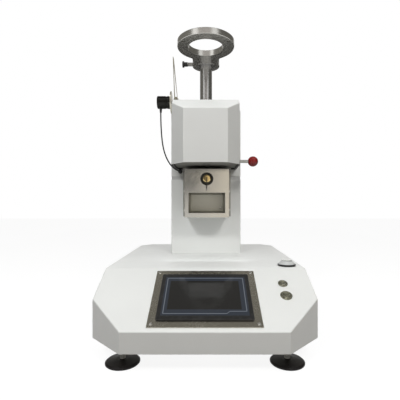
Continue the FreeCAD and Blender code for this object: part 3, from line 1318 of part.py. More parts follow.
os.makedirs("parts", exist_ok=True)
for label, item in parts.items():
    item.Shape.exportStep(f"parts/{label}.step")
    bounds = item.Shape.BoundBox
    print(f"{label:20} {len(item.Shape.Solids):3} solids, {item.Shape.Volume / 1000:9.2f} cm3,"
          f" X {bounds.XMin:7.1f} {bounds.XMax:7.1f}  Y {bounds.YMin:7.1f} {bounds.YMax:7.1f}"
          f"  Z {bounds.ZMin:7.1f} {bounds.ZMax:7.1f}")
print(len(parts), "sub-parts")
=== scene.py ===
import math

import bmesh
import bpy
from mathutils import Matrix, Vector


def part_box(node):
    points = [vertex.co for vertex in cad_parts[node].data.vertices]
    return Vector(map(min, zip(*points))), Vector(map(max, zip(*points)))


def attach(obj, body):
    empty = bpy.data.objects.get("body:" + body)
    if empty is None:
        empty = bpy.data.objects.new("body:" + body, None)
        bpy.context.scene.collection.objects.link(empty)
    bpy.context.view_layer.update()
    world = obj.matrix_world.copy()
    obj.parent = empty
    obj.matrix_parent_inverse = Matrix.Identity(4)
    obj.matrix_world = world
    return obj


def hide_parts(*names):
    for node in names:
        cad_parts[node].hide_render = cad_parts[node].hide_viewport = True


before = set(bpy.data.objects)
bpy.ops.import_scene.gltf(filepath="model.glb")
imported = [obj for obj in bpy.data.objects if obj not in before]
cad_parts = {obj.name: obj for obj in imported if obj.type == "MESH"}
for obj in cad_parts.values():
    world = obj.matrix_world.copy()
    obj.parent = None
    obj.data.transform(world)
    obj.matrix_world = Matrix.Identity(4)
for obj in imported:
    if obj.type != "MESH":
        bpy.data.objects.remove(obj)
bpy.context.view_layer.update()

MM = 0.001
# The sloped panel rises 91 mm over 172 mm, from 43 mm above the base housing's lower edge.
SLOPE_RISE, SLOPE_RUN = 91, 172
FRONT_FACE = 43 * MM
# Screws nearer to the slope's foot than this are on the slope.
SLOPE_REACH = 180 * MM
CLAMP_HEAD = 17 * MM
THREAD_PITCH = 1.25 * MM


def middle_of(box):
    """Middle of a box given by its low and high corners."""
    low, high = box
    return (low + high) / 2


BARREL_AXIS = middle_of(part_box("barrel"))
POST_AXIS = middle_of(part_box("post"))
CUTTER_AXIS = middle_of(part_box("cutter_hub"))
ENCODER_AXIS = middle_of(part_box("encoder_body"))
LEVEL_AXIS = middle_of(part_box("level_glass"))
CLAMP_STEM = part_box("clamp_screw")[0].x + CLAMP_HEAD
SLOPE = math.atan2(SLOPE_RISE, SLOPE_RUN)
base_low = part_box("base_housing")[0]
SLOPE_FOOT = Vector((0, base_low.y, base_low.z + FRONT_FACE))
EYE = Vector((5.6 * MM, base_low.y - 630 * MM, 334 * MM))

FLAG_REACH = 2.4
FLAG_FOOT, FLAG_STEP, FLAG_MIDDLE, FLAG_TOP = 0.02, 0.40, 1.05, 2.9
SKY_STRENGTH = 0.94
WHITE = (1, 1, 1)
OLIVE = (1, 0.97, 0.88)


# Nodes

class Graph:
    """A node tree, with short ways to add and link its nodes."""

    def __init__(self, tree):
        self.tree = tree

    def feed(self, socket, value):
        """Links an output to a socket, or sets the socket's own value."""
        if isinstance(value, bpy.types.NodeSocket):
            self.tree.links.new(value, socket)
        elif isinstance(value, (tuple, list)) and len(value) == 3 and socket.type == "RGBA":
            socket.default_value = (*value, 1)
        else:
            socket.default_value = value

    def node(self, kind, inputs=(), **properties):
        """Adds a node, sets its properties and feeds its inputs."""
        item = self.tree.nodes.new("ShaderNode" + kind)
        for name, value in properties.items():
            setattr(item, name, value)
        for key, value in dict(inputs).items():
            self.feed(item.inputs[key], value)
        return item

    def math(self, operation, first, second=0.0):
        """Arithmetic on one or two values."""
        return self.node("Math", {0: first, 1: second}, operation=operation).outputs[0]

    def span(self, value, low, high, first=0.0, last=1.0):
        """Maps low..high onto first..last, and stops there."""
        return self.node("MapRange", {"Value": value, "From Min": low, "From Max": high,
                                      "To Min": first, "To Max": last}).outputs[0]

    def blend(self, factor, first, second):
        """The first colour at factor 0, the second at factor 1."""
        mix = self.node("Mix", data_type="RGBA")
        self.feed(mix.inputs["Factor"], factor)
        self.feed(mix.inputs[6], first)
        self.feed(mix.inputs[7], second)
        return mix.outputs[2]

    def looked_at(self):
        """1 for what camera, metal and glass see, 0 for the light that surfaces gather."""
        rays = self.node("LightPath").outputs
        mirrored = self.math("MAXIMUM", rays["Is Glossy Ray"], rays["Is Transmission Ray"])
        return self.math("MAXIMUM", rays["Is Camera Ray"], mirrored)

    def mixed(self, share, first, second):
        """Mix of two shaders."""
        return self.node("MixShader", {0: share, 1: first, 2: second}).outputs[0]


# Camera, lights and floor

def make_camera():
    """Level camera in front of the base, a little right of its middle."""
    data = bpy.data.cameras.new("camera")
    data.lens = 29.25
    data.sensor_width = 36
    data.shift_x = -0.01925
    data.shift_y = 0.0071
    camera = bpy.data.objects.new("camera", data)
    camera.location = EYE
    camera.rotation_euler = (math.pi / 2, 0, 0)
    bpy.context.scene.collection.objects.link(camera)
    bpy.context.scene.camera = camera


def area_light(name, at, aim, width, height, power, colour):
    """Rectangular lamp that neither the camera nor gloss sees."""
    data = bpy.data.lights.new(name, "AREA")
    data.shape = "RECTANGLE"
    data.size, data.size_y = width, height
    data.energy = power
    data.color = colour
    light = bpy.data.objects.new(name, data)
    light.location = at
    light.rotation_euler = (Vector(aim) - Vector(at)).to_track_quat("-Z", "Y").to_euler()
    light.visible_glossy = False
    light.visible_camera = False
    bpy.context.scene.collection.objects.link(light)


def make_world():
    """Soft light that is weaker from below, with a white background for camera, metal and glass."""
    world = bpy.data.worlds.new("studio")
    bpy.context.scene.world = world
    world.use_nodes = True
    graph = Graph(world.node_tree)
    graph.tree.nodes.clear()
    direction = graph.node("TexCoord").outputs["Generated"]
    height = graph.node("SeparateXYZ", {0: direction}).outputs["Z"]
    strength = graph.span(graph.math("MULTIPLY", height, height), 0.0, 1.0, 0.0, SKY_STRENGTH)
    tone = graph.blend(height, (1, 0.95, 0.88), WHITE)
    soft = graph.node("Background", {"Color": tone, "Strength": strength}).outputs[0]
    white = graph.node("Background", {"Color": WHITE}).outputs[0]
    graph.node("OutputWorld", {"Surface": graph.mixed(graph.looked_at(), soft, white)})


def mesh_object(name, form):
    """Turns a bmesh into an object in the scene."""
    mesh = bpy.data.meshes.new(name)
    form.to_mesh(mesh)
    form.free()
    piece = bpy.data.objects.new(name, mesh)
    bpy.context.scene.collection.objects.link(piece)
    return piece


def sheets_between(name, sheets):
    """Flat sheets, each given by its corners, as one object."""
    form = bmesh.new()
    for corners in sheets:
        form.faces.new([form.verts.new(corner) for corner in corners])
    return mesh_object(name, form)


def level_sheet(left, right, near, far, height):
    """Corners of a level sheet."""
    return [(left, near, height), (right, near, height), (right, far, height), (left, far, height)]


def make_floor():
    """Pale floor that looks white to the camera and still takes the object's shadow."""
    floor = sheets_between("floor", [level_sheet(-6, 6, -6, 6, 0)])
    look = Look("floor_paper", roughness=0.9, Specular_IOR_Level=0.1)
    grain = look.node("TexNoise", {"Scale": 30}).outputs["Fac"]
    paper = look.span(grain, 0.0, 1.0, 0.80, 0.83)
    bounced = look.node("LightPath").outputs["Is Diffuse Ray"]
    look.finish(look.blend(bounced, paper, (0.13, 0.11, 0.09)))
    glow = look.node("Emission", {"Strength": 1.12}).outputs[0]
    share = look.math("MULTIPLY", look.looked_at(), 0.78)
    look.show(look.mixed(share, look.shader.outputs[0], glow))
    floor.data.materials.append(look.material)


def make_flag(name, sheets, colour, strength):
    """A studio flag that only gloss and metal see, so that steel shows dark and light bands."""
    flag = sheets_between(name, sheets)
    look = Look(name)
    look.show(look.node("Emission", {"Color": colour, "Strength": strength}).outputs[0])
    look.tree.nodes.remove(look.shader)
    flag.data.materials.append(look.material)
    flag.visible_camera = False
    flag.visible_diffuse = False
    flag.visible_shadow = False
    flag.visible_transmission = False


def upright(first, last, low, high):
    """Rounded upright flag between two bearings, in degrees right of straight ahead of the object."""
    steps = max(2, round((last - first) / 10))
    bearings = [math.radians(first + (last - first) * n / steps) for n in range(steps + 1)]
    foot = [(FLAG_REACH * math.sin(bearing), -FLAG_REACH * math.cos(bearing)) for bearing in bearings]
    return [[(*one, low), (*other, low), (*other, high), (*one, high)] for one, other in zip(foot, foot[1:])]


def make_lamps():
    """Two keys from the front, a soft lamp at each side, and light thrown back by the base."""
    low_aim, high_aim = (0, 0, 0.30), (0, 0, 0.50)
    area_light("key_left", (-0.72, -1.30, 1.40), low_aim, 0.28, 0.28, 9.7, (0.98, 0.99, 1))
    area_light("key_right", (0.72, -1.30, 1.40), low_aim, 0.28, 0.28, 8.5, (1, 0.99, 0.97))
    area_light("side_left", (-1.0, -0.6, 1.5), high_aim, 0.8, 0.8, 4.2, (0.93, 0.98, 1))
    area_light("side_right", (1.0, -0.6, 1.5), high_aim, 0.8, 0.8, 4.2, (0.96, 0.99, 1))
    area_light("bounce", (0, -0.06, 0.186), (0, 0.10, 0.25), 0.24, 0.10, 0.10, (0.94, 0.98, 1))


def make_flags():
    """Flags all round, above and behind, with a small bright one high in front."""
    for name, first, last, low, high, colour, strength in (
            ("flag_left", -150, -53, FLAG_FOOT, FLAG_TOP, OLIVE, 0.27),
            ("strip_left", -53, -31, FLAG_FOOT, FLAG_TOP, WHITE, 1.55),
            ("flag_front", -31, 23, FLAG_MIDDLE, FLAG_TOP, (1, 0.95, 0.92), 0.62),
            ("flag_low_left", -31, 0, FLAG_STEP, FLAG_MIDDLE, (1, 0.98, 0.94), 0.14),
            ("flag_floor_left", -31, 0, FLAG_FOOT, FLAG_STEP, (1, 0.98, 0.94), 0.85),
            ("flag_low_right", 0, 23, FLAG_FOOT, FLAG_MIDDLE, (1, 0.92, 0.78), 1.0),
            ("strip_right", 23, 49, FLAG_FOOT, FLAG_TOP, WHITE, 1.25),
            ("flag_right", 49, 150, FLAG_FOOT, FLAG_TOP, OLIVE, 0.18)):
        make_flag(name, upright(first, last, low, high), colour, strength)
    make_flag("flag_top", [level_sheet(-1.6, 1.6, -1.1, 1.6, FLAG_TOP)], OLIVE, 0.24)
    make_flag("flag_behind", [level_sheet(-1.6, 1.6, 0.6, 3.2, 0.01)], OLIVE, 0.07)
    make_flag("spot_front", [level_sheet(-0.2, 0.2, -1.6, -1.2, 2.6)], WHITE, 14.0)


# Materials

class Look(Graph):
    """A procedural material with its shader and the object's own coordinates."""

    def __init__(self, name, roughness=0.5, metallic=0.0, **constants):
        self.material = bpy.data.materials.new(name)
        self.material.use_nodes = True
        super().__init__(self.material.node_tree)
        self.shader = self.tree.nodes["Principled BSDF"]
        self.shader.inputs["Roughness"].default_value = roughness
        self.shader.inputs["Metallic"].default_value = metallic
        for socket, amount in constants.items():
            self.shader.inputs[socket.replace("_", " ")].default_value = amount
        self.place = self.node("TexCoord").outputs["Object"]

    def noise(self, scale, detail=3.0, stretch=(1, 1, 1), at=None, roughness=0.55):
        """Noise in the object's coordinates, or in those given."""
        where = self.node("Mapping", {"Vector": at or self.place, "Scale": stretch}).outputs[0]
        return self.node("TexNoise", {"Vector": where, "Scale": scale, "Detail": detail,
                                      "Roughness": roughness}).outputs["Fac"]

    def soft_edges(self, radius):
        """The normal with the edges rounded by a radius, in metres."""
        return self.node("Bevel", {"Radius": radius}, samples=6).outputs[0]

    def bump(self, height, distance, normal=None):
        """The normal of a relief that is this distance deep, in metres, where its height is 1."""
        inputs = {"Height": height, "Distance": distance}
        if normal:
            inputs["Normal"] = normal
        return self.node("Bump", inputs).outputs[0]

    def edges(self, radius):
        """1 at edges within a radius, 0 on flat ground."""
        flat = self.node("NewGeometry").outputs["Normal"]
        dot = self.node("VectorMath", {0: flat, 1: self.soft_edges(radius)}, operation="DOT_PRODUCT")
        return self.span(dot.outputs["Value"], 0.995, 0.9)

    def crevices(self, reach):
        """1 in corners, slots and holes within a reach, 0 in the open."""
        open_share = self.node("AmbientOcclusion", {"Distance": reach}, samples=8).outputs["AO"]
        return self.span(open_share, 0.75, 0.25)

    def around(self, centre, axis):
        """Coordinates for turned work, and the distance from its axis."""
        out = self.node("VectorMath", {0: self.place, 1: tuple(centre)}, operation="SUBTRACT").outputs[0]
        split = self.node("SeparateXYZ", {0: out})
        across = [letter for letter in "XYZ" if letter != axis]
        first, second = (split.outputs[letter] for letter in across)
        squares = self.math("ADD", self.math("MULTIPLY", first, first), self.math("MULTIPLY", second, second))
        radius = self.math("SQRT", squares)
        both = self.node("CombineXYZ", {0: radius, 1: split.outputs[axis], 2: 0.0}).outputs[0]
        return both, radius

    def thread(self, along):
        """Ridges from 0 to 1 along a threaded stem."""
        return self.math("MULTIPLY", self.math("PINGPONG", along, THREAD_PITCH / 2), 2 / THREAD_PITCH)

    def finish(self, colour, roughness=None, normal=None):
        """Feeds the shader and gives the material."""
        self.feed(self.shader.inputs["Base Color"], colour)
        if roughness is not None:
            self.feed(self.shader.inputs["Roughness"], roughness)
        if normal is not None:
            self.feed(self.shader.inputs["Normal"], normal)
        return self.material

    def show(self, surface):
        """Puts another shader in front of the material's own."""
        self.feed(self.tree.nodes["Material Output"].inputs["Surface"], surface)


def tinted(colour, factor):
    """A colour made darker or brighter by a factor."""
    return tuple(channel * factor for channel in colour)


def powder_coat(name, colour, roughness=0.45, peel=0.00010):
    """Painted sheet: orange peel, faint clouding, a few specks, thinner paint on the folds."""
    look = Look(name)
    clouds = look.noise(7, 4)
    specks = look.span(look.noise(900, 2), 0.70, 0.78)
    shade = look.blend(look.span(clouds, 0.3, 0.7), tinted(colour, 0.965), colour)
    shade = look.blend(look.math("MULTIPLY", specks, 0.25), shade, tinted(colour, 0.72))
    shade = look.blend(look.math("MULTIPLY", look.edges(0.0012), 0.35), shade, tinted(colour, 0.86))
    rough = look.span(look.noise(45, 5), 0.25, 0.75, roughness - 0.07, roughness + 0.08)
    grain = look.noise(1500, 3)
    return look.finish(shade, rough, look.bump(grain, peel, look.soft_edges(0.0011)))


def brushed(name, colour, roughness, stretch=(1, 1, 1), depth=0.00003, contrast=0.16):
    """Sheet metal with grain along one axis, smudges and brighter edges."""
    look = Look(name, metallic=1.0)
    lines = look.noise(240, 6, stretch, roughness=0.7)
    clouds = look.noise(22, 5)
    shade = look.blend(look.span(lines, 0.3, 0.7), tinted(colour, 1 - contrast), tinted(colour, 1 + contrast))
    shade = look.blend(look.math("MULTIPLY", clouds, 0.12), shade, tinted(colour, 0.55))
    shade = look.blend(look.math("MULTIPLY", look.edges(0.0007), 0.6), shade, tinted(colour, 1.3))
    rough = look.math("ADD", look.span(lines, 0.2, 0.8, roughness - 0.08, roughness + 0.06),
                      look.span(clouds, 0.3, 0.7, -0.03, 0.06))
    return look.finish(shade, rough, look.bump(lines, depth, look.soft_edges(0.0005)))


def turned(name, colour, roughness, centre, axis, pitch=1800, depth=0.00002, painted_shade_reach=0):
    """Metal with tool marks round an axis, light scratches and handling marks, and painted shade in its
    corners, slots and holes when given a reach.
    """
    look = Look(name, metallic=1.0)
    both = look.around(centre, axis)[0]
    marks = look.noise(pitch, 3, at=both, roughness=0.7)
    clouds = look.noise(30, 5)
    scratches = look.span(look.noise(160, 3, (6, 1, 1)), 0.66, 0.72)
    shade = look.blend(look.span(marks, 0.3, 0.7), tinted(colour, 0.82), tinted(colour, 1.1))
    shade = look.blend(look.math("MULTIPLY", clouds, 0.15), shade, tinted(colour, 0.5))
    shade = look.blend(look.math("MULTIPLY", look.edges(0.0006), 0.5), shade, tinted(colour, 1.3))
    # Painted shade: ambient occlusion darkens corners, slots and holes within the reach nearly to black.
    if painted_shade_reach:
        shade = look.blend(look.math("MULTIPLY", look.crevices(painted_shade_reach), 0.92), shade, (0.012, 0.011, 0.010))
    rough = look.math("ADD", look.span(marks, 0.2, 0.8, roughness - 0.05, roughness + 0.06),
                      look.math("MULTIPLY", scratches, 0.12))
    return look.finish(shade, rough, look.bump(marks, depth, look.soft_edges(0.0005)))


def moulded(name, colour, roughness, grain=1400, depth=0.00006, dust=0.25, **constants):
    """Moulded plastic or rubber with a fine texture, dull patches and pale dust in the texture."""
    look = Look(name, **constants)
    texture = look.noise(grain, 3)
    clouds = look.noise(38, 4)
    shade = look.blend(look.span(clouds, 0.3, 0.7), tinted(colour, 0.8), tinted(colour, 1.15))
    dusty = look.math("MULTIPLY", look.span(look.noise(120, 4), 0.5, 0.75), dust)
    shade = look.blend(dusty, shade, tuple(channel + 0.05 for channel in colour))
    shade = look.blend(look.math("MULTIPLY", look.edges(0.0006), 0.3), shade,
                       tuple(channel * 1.5 + 0.01 for channel in colour))
    rough = look.span(clouds, 0.25, 0.75, roughness - 0.06, roughness + 0.08)
    return look.finish(shade, rough, look.bump(texture, depth, look.soft_edges(0.0006)))


def screen_look():
    """Dark operating picture: slate border with a thin pale frame line that steps at its lower right."""
    look = Look("screen_picture", roughness=0.09, Specular_IOR_Level=0.5)
    across, up = (look.math("MULTIPLY", distance, 1000) for distance in on_slope(look)[:2])
    soft, half_line = 0.4, 0.8

    def inside(left, right, low, high):
        """1 within a rectangle in millimetres, measured across and up the slope."""
        masks = [look.span(across, left - soft, left + soft), look.span(across, right + soft, right - soft),
                 look.span(up, low - soft, low + soft), look.span(up, high + soft, high - soft)]
        product = masks[0]
        for mask in masks[1:]:
            product = look.math("MULTIPLY", product, mask)
        return product

    edge, low, high = 86.6, 42.0, 149.0
    step_left, step_right, step_up = 45.0, 51.5, 6.0
    ramp = look.span(across, step_left, step_right, low, low + step_up)
    beneath = look.math("ABSOLUTE", look.math("SUBTRACT", up, ramp))
    line_low = look.math("MULTIPLY", look.span(beneath, 1.0, 0.5), inside(-edge, edge, 0, 200))
    line_top = inside(-edge, edge, high - half_line, high + half_line)
    line_left = inside(-edge - half_line, -edge + half_line, low, high)
    line_right = inside(edge - half_line, edge + half_line, low + step_up, high)
    line = line_low
    for other in (line_top, line_left, line_right):
        line = look.math("MAXIMUM", line, other)
    picture = inside(-79.5, 76.5, 53, 140)
    haze = look.span(look.noise(9, 3), 0.3, 0.7, 0.75, 1.25)
    slate, ink, pale = (0.020, 0.026, 0.038), (0.006, 0.0055, 0.005), (0.15, 0.17, 0.20)
    glow = look.blend(picture, slate, ink)
    glow = look.blend(line, glow, pale)
    look.feed(look.shader.inputs["Emission Color"], glow)
    look.shader.inputs["Emission Strength"].default_value = 1.0
    smears = look.noise(14, 5, (1, 3, 1))
    rough = look.span(smears, 0.35, 0.75, 0.05, 0.16)
    shade = look.blend(haze, (0.006, 0.006, 0.007), (0.010, 0.010, 0.010))
    return look.finish(shade, rough)


def foot_look():
    """Moulded pad below, threaded zinc stud above it."""
    look = Look("foot_rubber_and_stud", Specular_IOR_Level=0.2)
    height = look.node("SeparateXYZ", {0: look.place}).outputs["Z"]
    stud = look.span(height, 0.0101, 0.0104)
    texture = look.noise(1100, 3)
    rubber = look.blend(look.span(look.noise(45, 4), 0.3, 0.7), (0.006, 0.005, 0.005), (0.013, 0.011, 0.010))
    shade = look.blend(stud, rubber, (0.34, 0.33, 0.31))
    look.feed(look.shader.inputs["Metallic"], stud)
    grooves = look.math("MULTIPLY", look.thread(height), stud)
    grain = look.math("MULTIPLY", texture, look.span(stud, 0, 1, 1, 0))
    normal = look.bump(grain, 0.00006, look.soft_edges(0.0008))
    normal = look.bump(grooves, 0.0006, normal)
    rough = look.span(texture, 0.2, 0.8, 0.30, 0.42)
    return look.finish(shade, rough, normal)


def level_look():
    """Vial of the bubble level: pale spirit, a black ring mark and the bubble a little off centre."""
    look = Look("level_vial", roughness=0.06, Coat_Weight=0.6, Coat_Roughness=0.03)
    radius = look.around(LEVEL_AXIS, "Z")[1]
    bubble_radius = look.around(LEVEL_AXIS + Vector((0.0012, 0.0008, 0)), "Z")[1]
    spirit = look.blend(look.span(look.noise(60, 3), 0.3, 0.7), (0.36, 0.39, 0.30), (0.48, 0.50, 0.42))
    ring = look.math("MULTIPLY", look.span(radius, 0.0050, 0.0052), look.span(radius, 0.0058, 0.0056))
    bubble = look.span(bubble_radius, 0.0040, 0.0037)
    rim = look.span(radius, 0.0108, 0.0112)
    shade = look.blend(bubble, spirit, (0.66, 0.70, 0.58))
    shade = look.blend(ring, shade, (0.02, 0.02, 0.02))
    shade = look.blend(rim, shade, (0.16, 0.16, 0.16))
    rough = look.span(look.noise(90, 3), 0.3, 0.7, 0.03, 0.10)
    return look.finish(shade, rough, look.soft_edges(0.0005))


def clamp_look():
    """Black plastic head and neck on a steel stem."""
    look = Look("clamp_head_and_stem", Specular_IOR_Level=0.4)
    along = look.node("SeparateXYZ", {0: look.place}).outputs["X"]
    stem = look.span(along, CLAMP_STEM - 0.0002, CLAMP_STEM + 0.0002)
    texture = look.noise(1100, 3)
    black = look.blend(look.span(look.noise(45, 4), 0.3, 0.7), (0.010, 0.010, 0.009), (0.022, 0.021, 0.019))
    shade = look.blend(stem, black, (0.40, 0.39, 0.37))
    look.feed(look.shader.inputs["Metallic"], stem)
    normal = look.bump(look.math("MULTIPLY", texture, look.span(stem, 0, 1, 1, 0)), 0.00005,
                       look.soft_edges(0.0006))
    normal = look.bump(look.math("MULTIPLY", look.thread(along), stem), 0.0005, normal)
    return look.finish(shade, look.span(texture, 0.2, 0.8, 0.28, 0.4), normal)


def on_slope(look):
    """Distances across and up the slope, and out of it, in metres."""
    local = look.node("VectorMath", {0: look.place, 1: tuple(SLOPE_FOOT)}, operation="SUBTRACT").outputs[0]
    flat = look.node("VectorRotate", {"Vector": local, "Axis": (1, 0, 0), "Angle": -SLOPE},
                     rotation_type="AXIS_ANGLE").outputs[0]
    return look.node("SeparateXYZ", {0: flat}).outputs


def button_look(name, colour, node, pitch):
    """Polished button with shallow rings, an uneven face and painted shade darkening its crevices."""
    middle = Matrix.Rotation(-SLOPE, 3, "X") @ (middle_of(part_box(node)) - SLOPE_FOOT)
    look = Look(name, metallic=1.0, roughness=0.1)
    across, up = on_slope(look)[:2]
    sides = [look.math("SUBTRACT", across, middle.x), look.math("SUBTRACT", up, middle.y)]
    squares = look.math("ADD", *(look.math("MULTIPLY", side, side) for side in sides))
    radius = look.math("SQRT", squares)
    rings = look.math("SINE", look.math("MULTIPLY", radius, math.tau / pitch))
    facets = look.math("ADD", look.math("MULTIPLY", rings, 0.25), look.noise(330, 1))
    clouds = look.noise(260, 4)
    shade = look.blend(look.span(clouds, 0.35, 0.7), tinted(colour, 0.7), tinted(colour, 1.1))
    # Painted shade: crevices within 1.2 mm are darkened nearly to black.
    shade = look.blend(look.math("MULTIPLY", look.crevices(0.0012), 0.9), shade, (0.02, 0.02, 0.015))
    rough = look.span(look.noise(500, 3), 0.3, 0.7, 0.05, 0.16)
    return look.finish(shade, rough, look.bump(facets, 0.0012, look.soft_edges(0.0006)))


def insulation_look():
    """Pale fibre blanket with clumps and loose darker threads."""
    look = Look("ceramic_fibre", roughness=0.95, Sheen_Weight=0.4)
    fibres = look.noise(300, 6, (1, 1, 4), roughness=0.8)
    clumps = look.noise(40, 5)
    shade = look.blend(look.span(clumps, 0.3, 0.7), (0.60, 0.57, 0.48), (0.76, 0.73, 0.64))
    shade = look.blend(look.span(fibres, 0.5, 0.8, 0, 0.5), shade, (0.42, 0.38, 0.30))
    normal = look.bump(look.math("ADD", fibres, clumps), 0.0012)
    return look.finish(shade, 0.95, normal)


def board_look():
    """Green solder mask with copper tracks and rows of pale pads."""
    look = Look("solder_mask", roughness=0.35, Coat_Weight=0.2)
    tracks = look.node("TexBrick", {"Vector": look.place, "Scale": 90.0, "Mortar Size": 0.03})
    pads = look.node("TexVoronoi", {"Vector": look.place, "Scale": 180.0}).outputs["Distance"]
    shade = look.blend(tracks.outputs["Fac"], (0.012, 0.09, 0.035), (0.02, 0.14, 0.05))
    shade = look.blend(look.span(pads, 0.16, 0.12), shade, (0.5, 0.48, 0.42))
    rough = look.span(look.noise(60, 3), 0.3, 0.7, 0.28, 0.45)
    normal = look.bump(tracks.outputs["Fac"], 0.0001)
    return look.finish(shade, rough, normal)


def dress(material, *names):
    """Gives CAD nodes one of the scene's materials."""
    for name in names:
        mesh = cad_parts[name].data
        mesh.materials.clear()
        mesh.materials.append(material)


def dress_nodes():
    """Finishes of the CAD nodes: housings, works of the furnace, post, cutter, panel, encoder."""
    cream = powder_coat("cream_powder_coat", (0.765, 0.77, 0.75))
    dress(cream, "base_housing", "column_head", "column_lower", "column_rear_cover", "furnace_shroud")
    dress(powder_coat("grey_band", (0.58, 0.58, 0.57), 0.5), "column_band")
    dress(powder_coat("grey_sheet", (0.16, 0.155, 0.14), 0.5, 0.00008), "shroud_floor")
    dress(brushed("box_steel", (0.30, 0.295, 0.27), 0.36, (14, 14, 1)), "cutter_box")
    dress(brushed("zinc_plated", (0.42, 0.41, 0.38), 0.36), "base_plate", "foot_nuts", "post_flange_screws",
          "cutter_motor")
    dress(board_look(), "control_board")
    dress(brushed("milled_aluminium", (0.60, 0.60, 0.59), 0.38, (1, 12, 12)), "power_supply")
    dress(brushed("dark_bracket", (0.10, 0.10, 0.085), 0.4, (1, 12, 12)), "motor_bracket")
    dress(foot_look(), "foot_front_left", "foot_front_right", "foot_rear_left", "foot_rear_right")

    dress(turned("barrel_steel", (0.62, 0.61, 0.59), 0.18, BARREL_AXIS, "Z"), "barrel", "die",
          "barrel_collar")
    dress(brushed("ground_block", (0.36, 0.355, 0.33), 0.32, (1, 10, 10)), "guide_block", "die_slide")
    dress(turned("bronze_block", (0.52, 0.36, 0.15), 0.35, BARREL_AXIS, "Z"), "furnace_block")
    dress(brushed("heater_sheet", (0.50, 0.47, 0.42), 0.34, (1, 1, 8)), "heater_band", "temperature_sensor")
    dress(insulation_look(), "insulation_sleeve")
    dress(moulded("red_ball", (0.21, 0.005, 0.004), 0.16, 500, 0.00001, 0.02, Specular_IOR_Level=0.4),
          "lever_ball")

    dress(turned("post_steel", (0.43, 0.425, 0.415), 0.22, POST_AXIS, "Z"), "post", "post_flange",
          "ring_collar")
    # The support ring gets painted shade in its slit and holes.
    dress(turned("ring_steel", (0.54, 0.53, 0.50), 0.24, BARREL_AXIS, "Z", 900, 0.00004, painted_shade_reach=0.004),
          "support_ring")
    dress(clamp_look(), "clamp_screw")

    dress(brushed("plate_steel", (0.56, 0.55, 0.52), 0.20, (14, 14, 1)), "cutter_faceplate")
    dress(brushed("liner_steel", (0.42, 0.41, 0.36), 0.45, (1, 10, 10)), "niche_liner")
    dress(brushed("blade_steel", (0.10, 0.095, 0.085), 0.4), "cutter_blade")
    dress(moulded("opening_black", (0.020, 0.020, 0.016), 0.4), "opening_ring")
    dress(turned("cutter_steel", (0.5, 0.49, 0.47), 0.3, CUTTER_AXIS, "Y"), "cutter_shaft")
    # The brass hub gets painted shade in its slot and corners.
    dress(turned("turned_brass", (0.68, 0.52, 0.25), 0.05, CUTTER_AXIS, "Y", depth=0.000003, painted_shade_reach=0.003),
          "cutter_hub")

    dress(brushed("frame_steel", (0.50, 0.48, 0.42), 0.24, (16, 1, 1), 0.00001, 0.07), "screen_frame")
    dress(moulded("bezel_black", (0.012, 0.012, 0.012), 0.34), "display_bezel", "display_case")
    dress(screen_look(), "display_glass")
    for size, pitch in (("small", 0.0060), ("large", 0.0066)):
        dress(button_look(f"button_polish_{size}", (0.33, 0.325, 0.25), f"button_cap_{size}", pitch),
              f"button_body_{size}", f"button_cap_{size}")
    dress(moulded("level_black", (0.012, 0.012, 0.012), 0.35), "level_ring")
    dress(powder_coat("level_silver", (0.62, 0.63, 0.62), 0.35, 0.00002), "level_body")
    dress(level_look(), "level_glass")

    dress(brushed("pale_plate", (0.66, 0.63, 0.54), 0.35, (1, 1, 6)), "encoder_flange")
    dress(brushed("arm_strip", (0.36, 0.34, 0.26), 0.30, (6, 6, 1)), "measuring_arm")
    dress(turned("encoder_black", (0.026, 0.026, 0.024), 0.30, ENCODER_AXIS, "X", 900, 0.00006),
          "encoder_body")
    dress(turned("shaft_steel", (0.5, 0.49, 0.47), 0.25, ENCODER_AXIS, "X"), "encoder_shaft")
    dress(moulded("boot_black", (0.014, 0.014, 0.014), 0.45), "encoder_boot", "cable_gland", "power_inlet")


# Pieces

def make_cable():
    """Encoder cable from its boot down beside the shroud and into the gland."""
    route = [Vector(point) * MM for point in (
        (-138.0, 48.5, 610.0), (-138.0, 48.5, 594.07), (-137.26, 48.06, 570.0), (-135.55, 46.96, 542.92),
        (-132.58, 45.42, 516.01), (-127.74, 44.1, 491.94), (-119.76, 42.56, 469.99), (-110.07, 41.9, 453.0),
        (-100.55, 43.44, 442.03), (-91.55, 47.4, 435.48), (-84.19, 54.0, 433.0), (-81.0, 61.92, 433.0),
        (-81.0, 70.5, 433.0))]
    data = bpy.data.curves.new("encoder_cable_line", "CURVE")
    data.dimensions = "3D"
    data.bevel_depth = 2 * MM
    data.bevel_resolution = 6
    data.resolution_u = 16
    data.use_fill_caps = True
    spline = data.splines.new("NURBS")
    spline.points.add(len(route) - 1)
    for point, at in zip(spline.points, route):
        point.co = (*at, 1)
    spline.order_u = 3
    spline.use_endpoint_u = True
    cable = bpy.data.objects.new("encoder_cable_line", data)
    bpy.context.scene.collection.objects.link(cable)
    data.materials.append(moulded("cable_jacket", (0.016, 0.016, 0.015), 0.42, 700, 0.00005))
    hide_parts("encoder_cable")
    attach(cable, "stand")


def sweep(name, path, profile, across):
    """A closed profile carried along a run of points; profile is (sideways, up) from each point."""
    form = bmesh.new()
    rings = []
    for point, side in zip(path, across):
        rings.append([form.verts.new(point + side * out + Vector((0, 0, up))) for out, up in profile])
    for first, second in zip(rings, rings[1:]):
        for n in range(len(profile)):
            m = (n + 1) % len(profile)
            form.faces.new([first[n], first[m], second[m], second[n]])
    form.faces.new(rings[0])
    form.faces.new(list(reversed(rings[-1])))
    bmesh.ops.recalc_face_normals(form, faces=form.faces)
    return mesh_object(name, form)


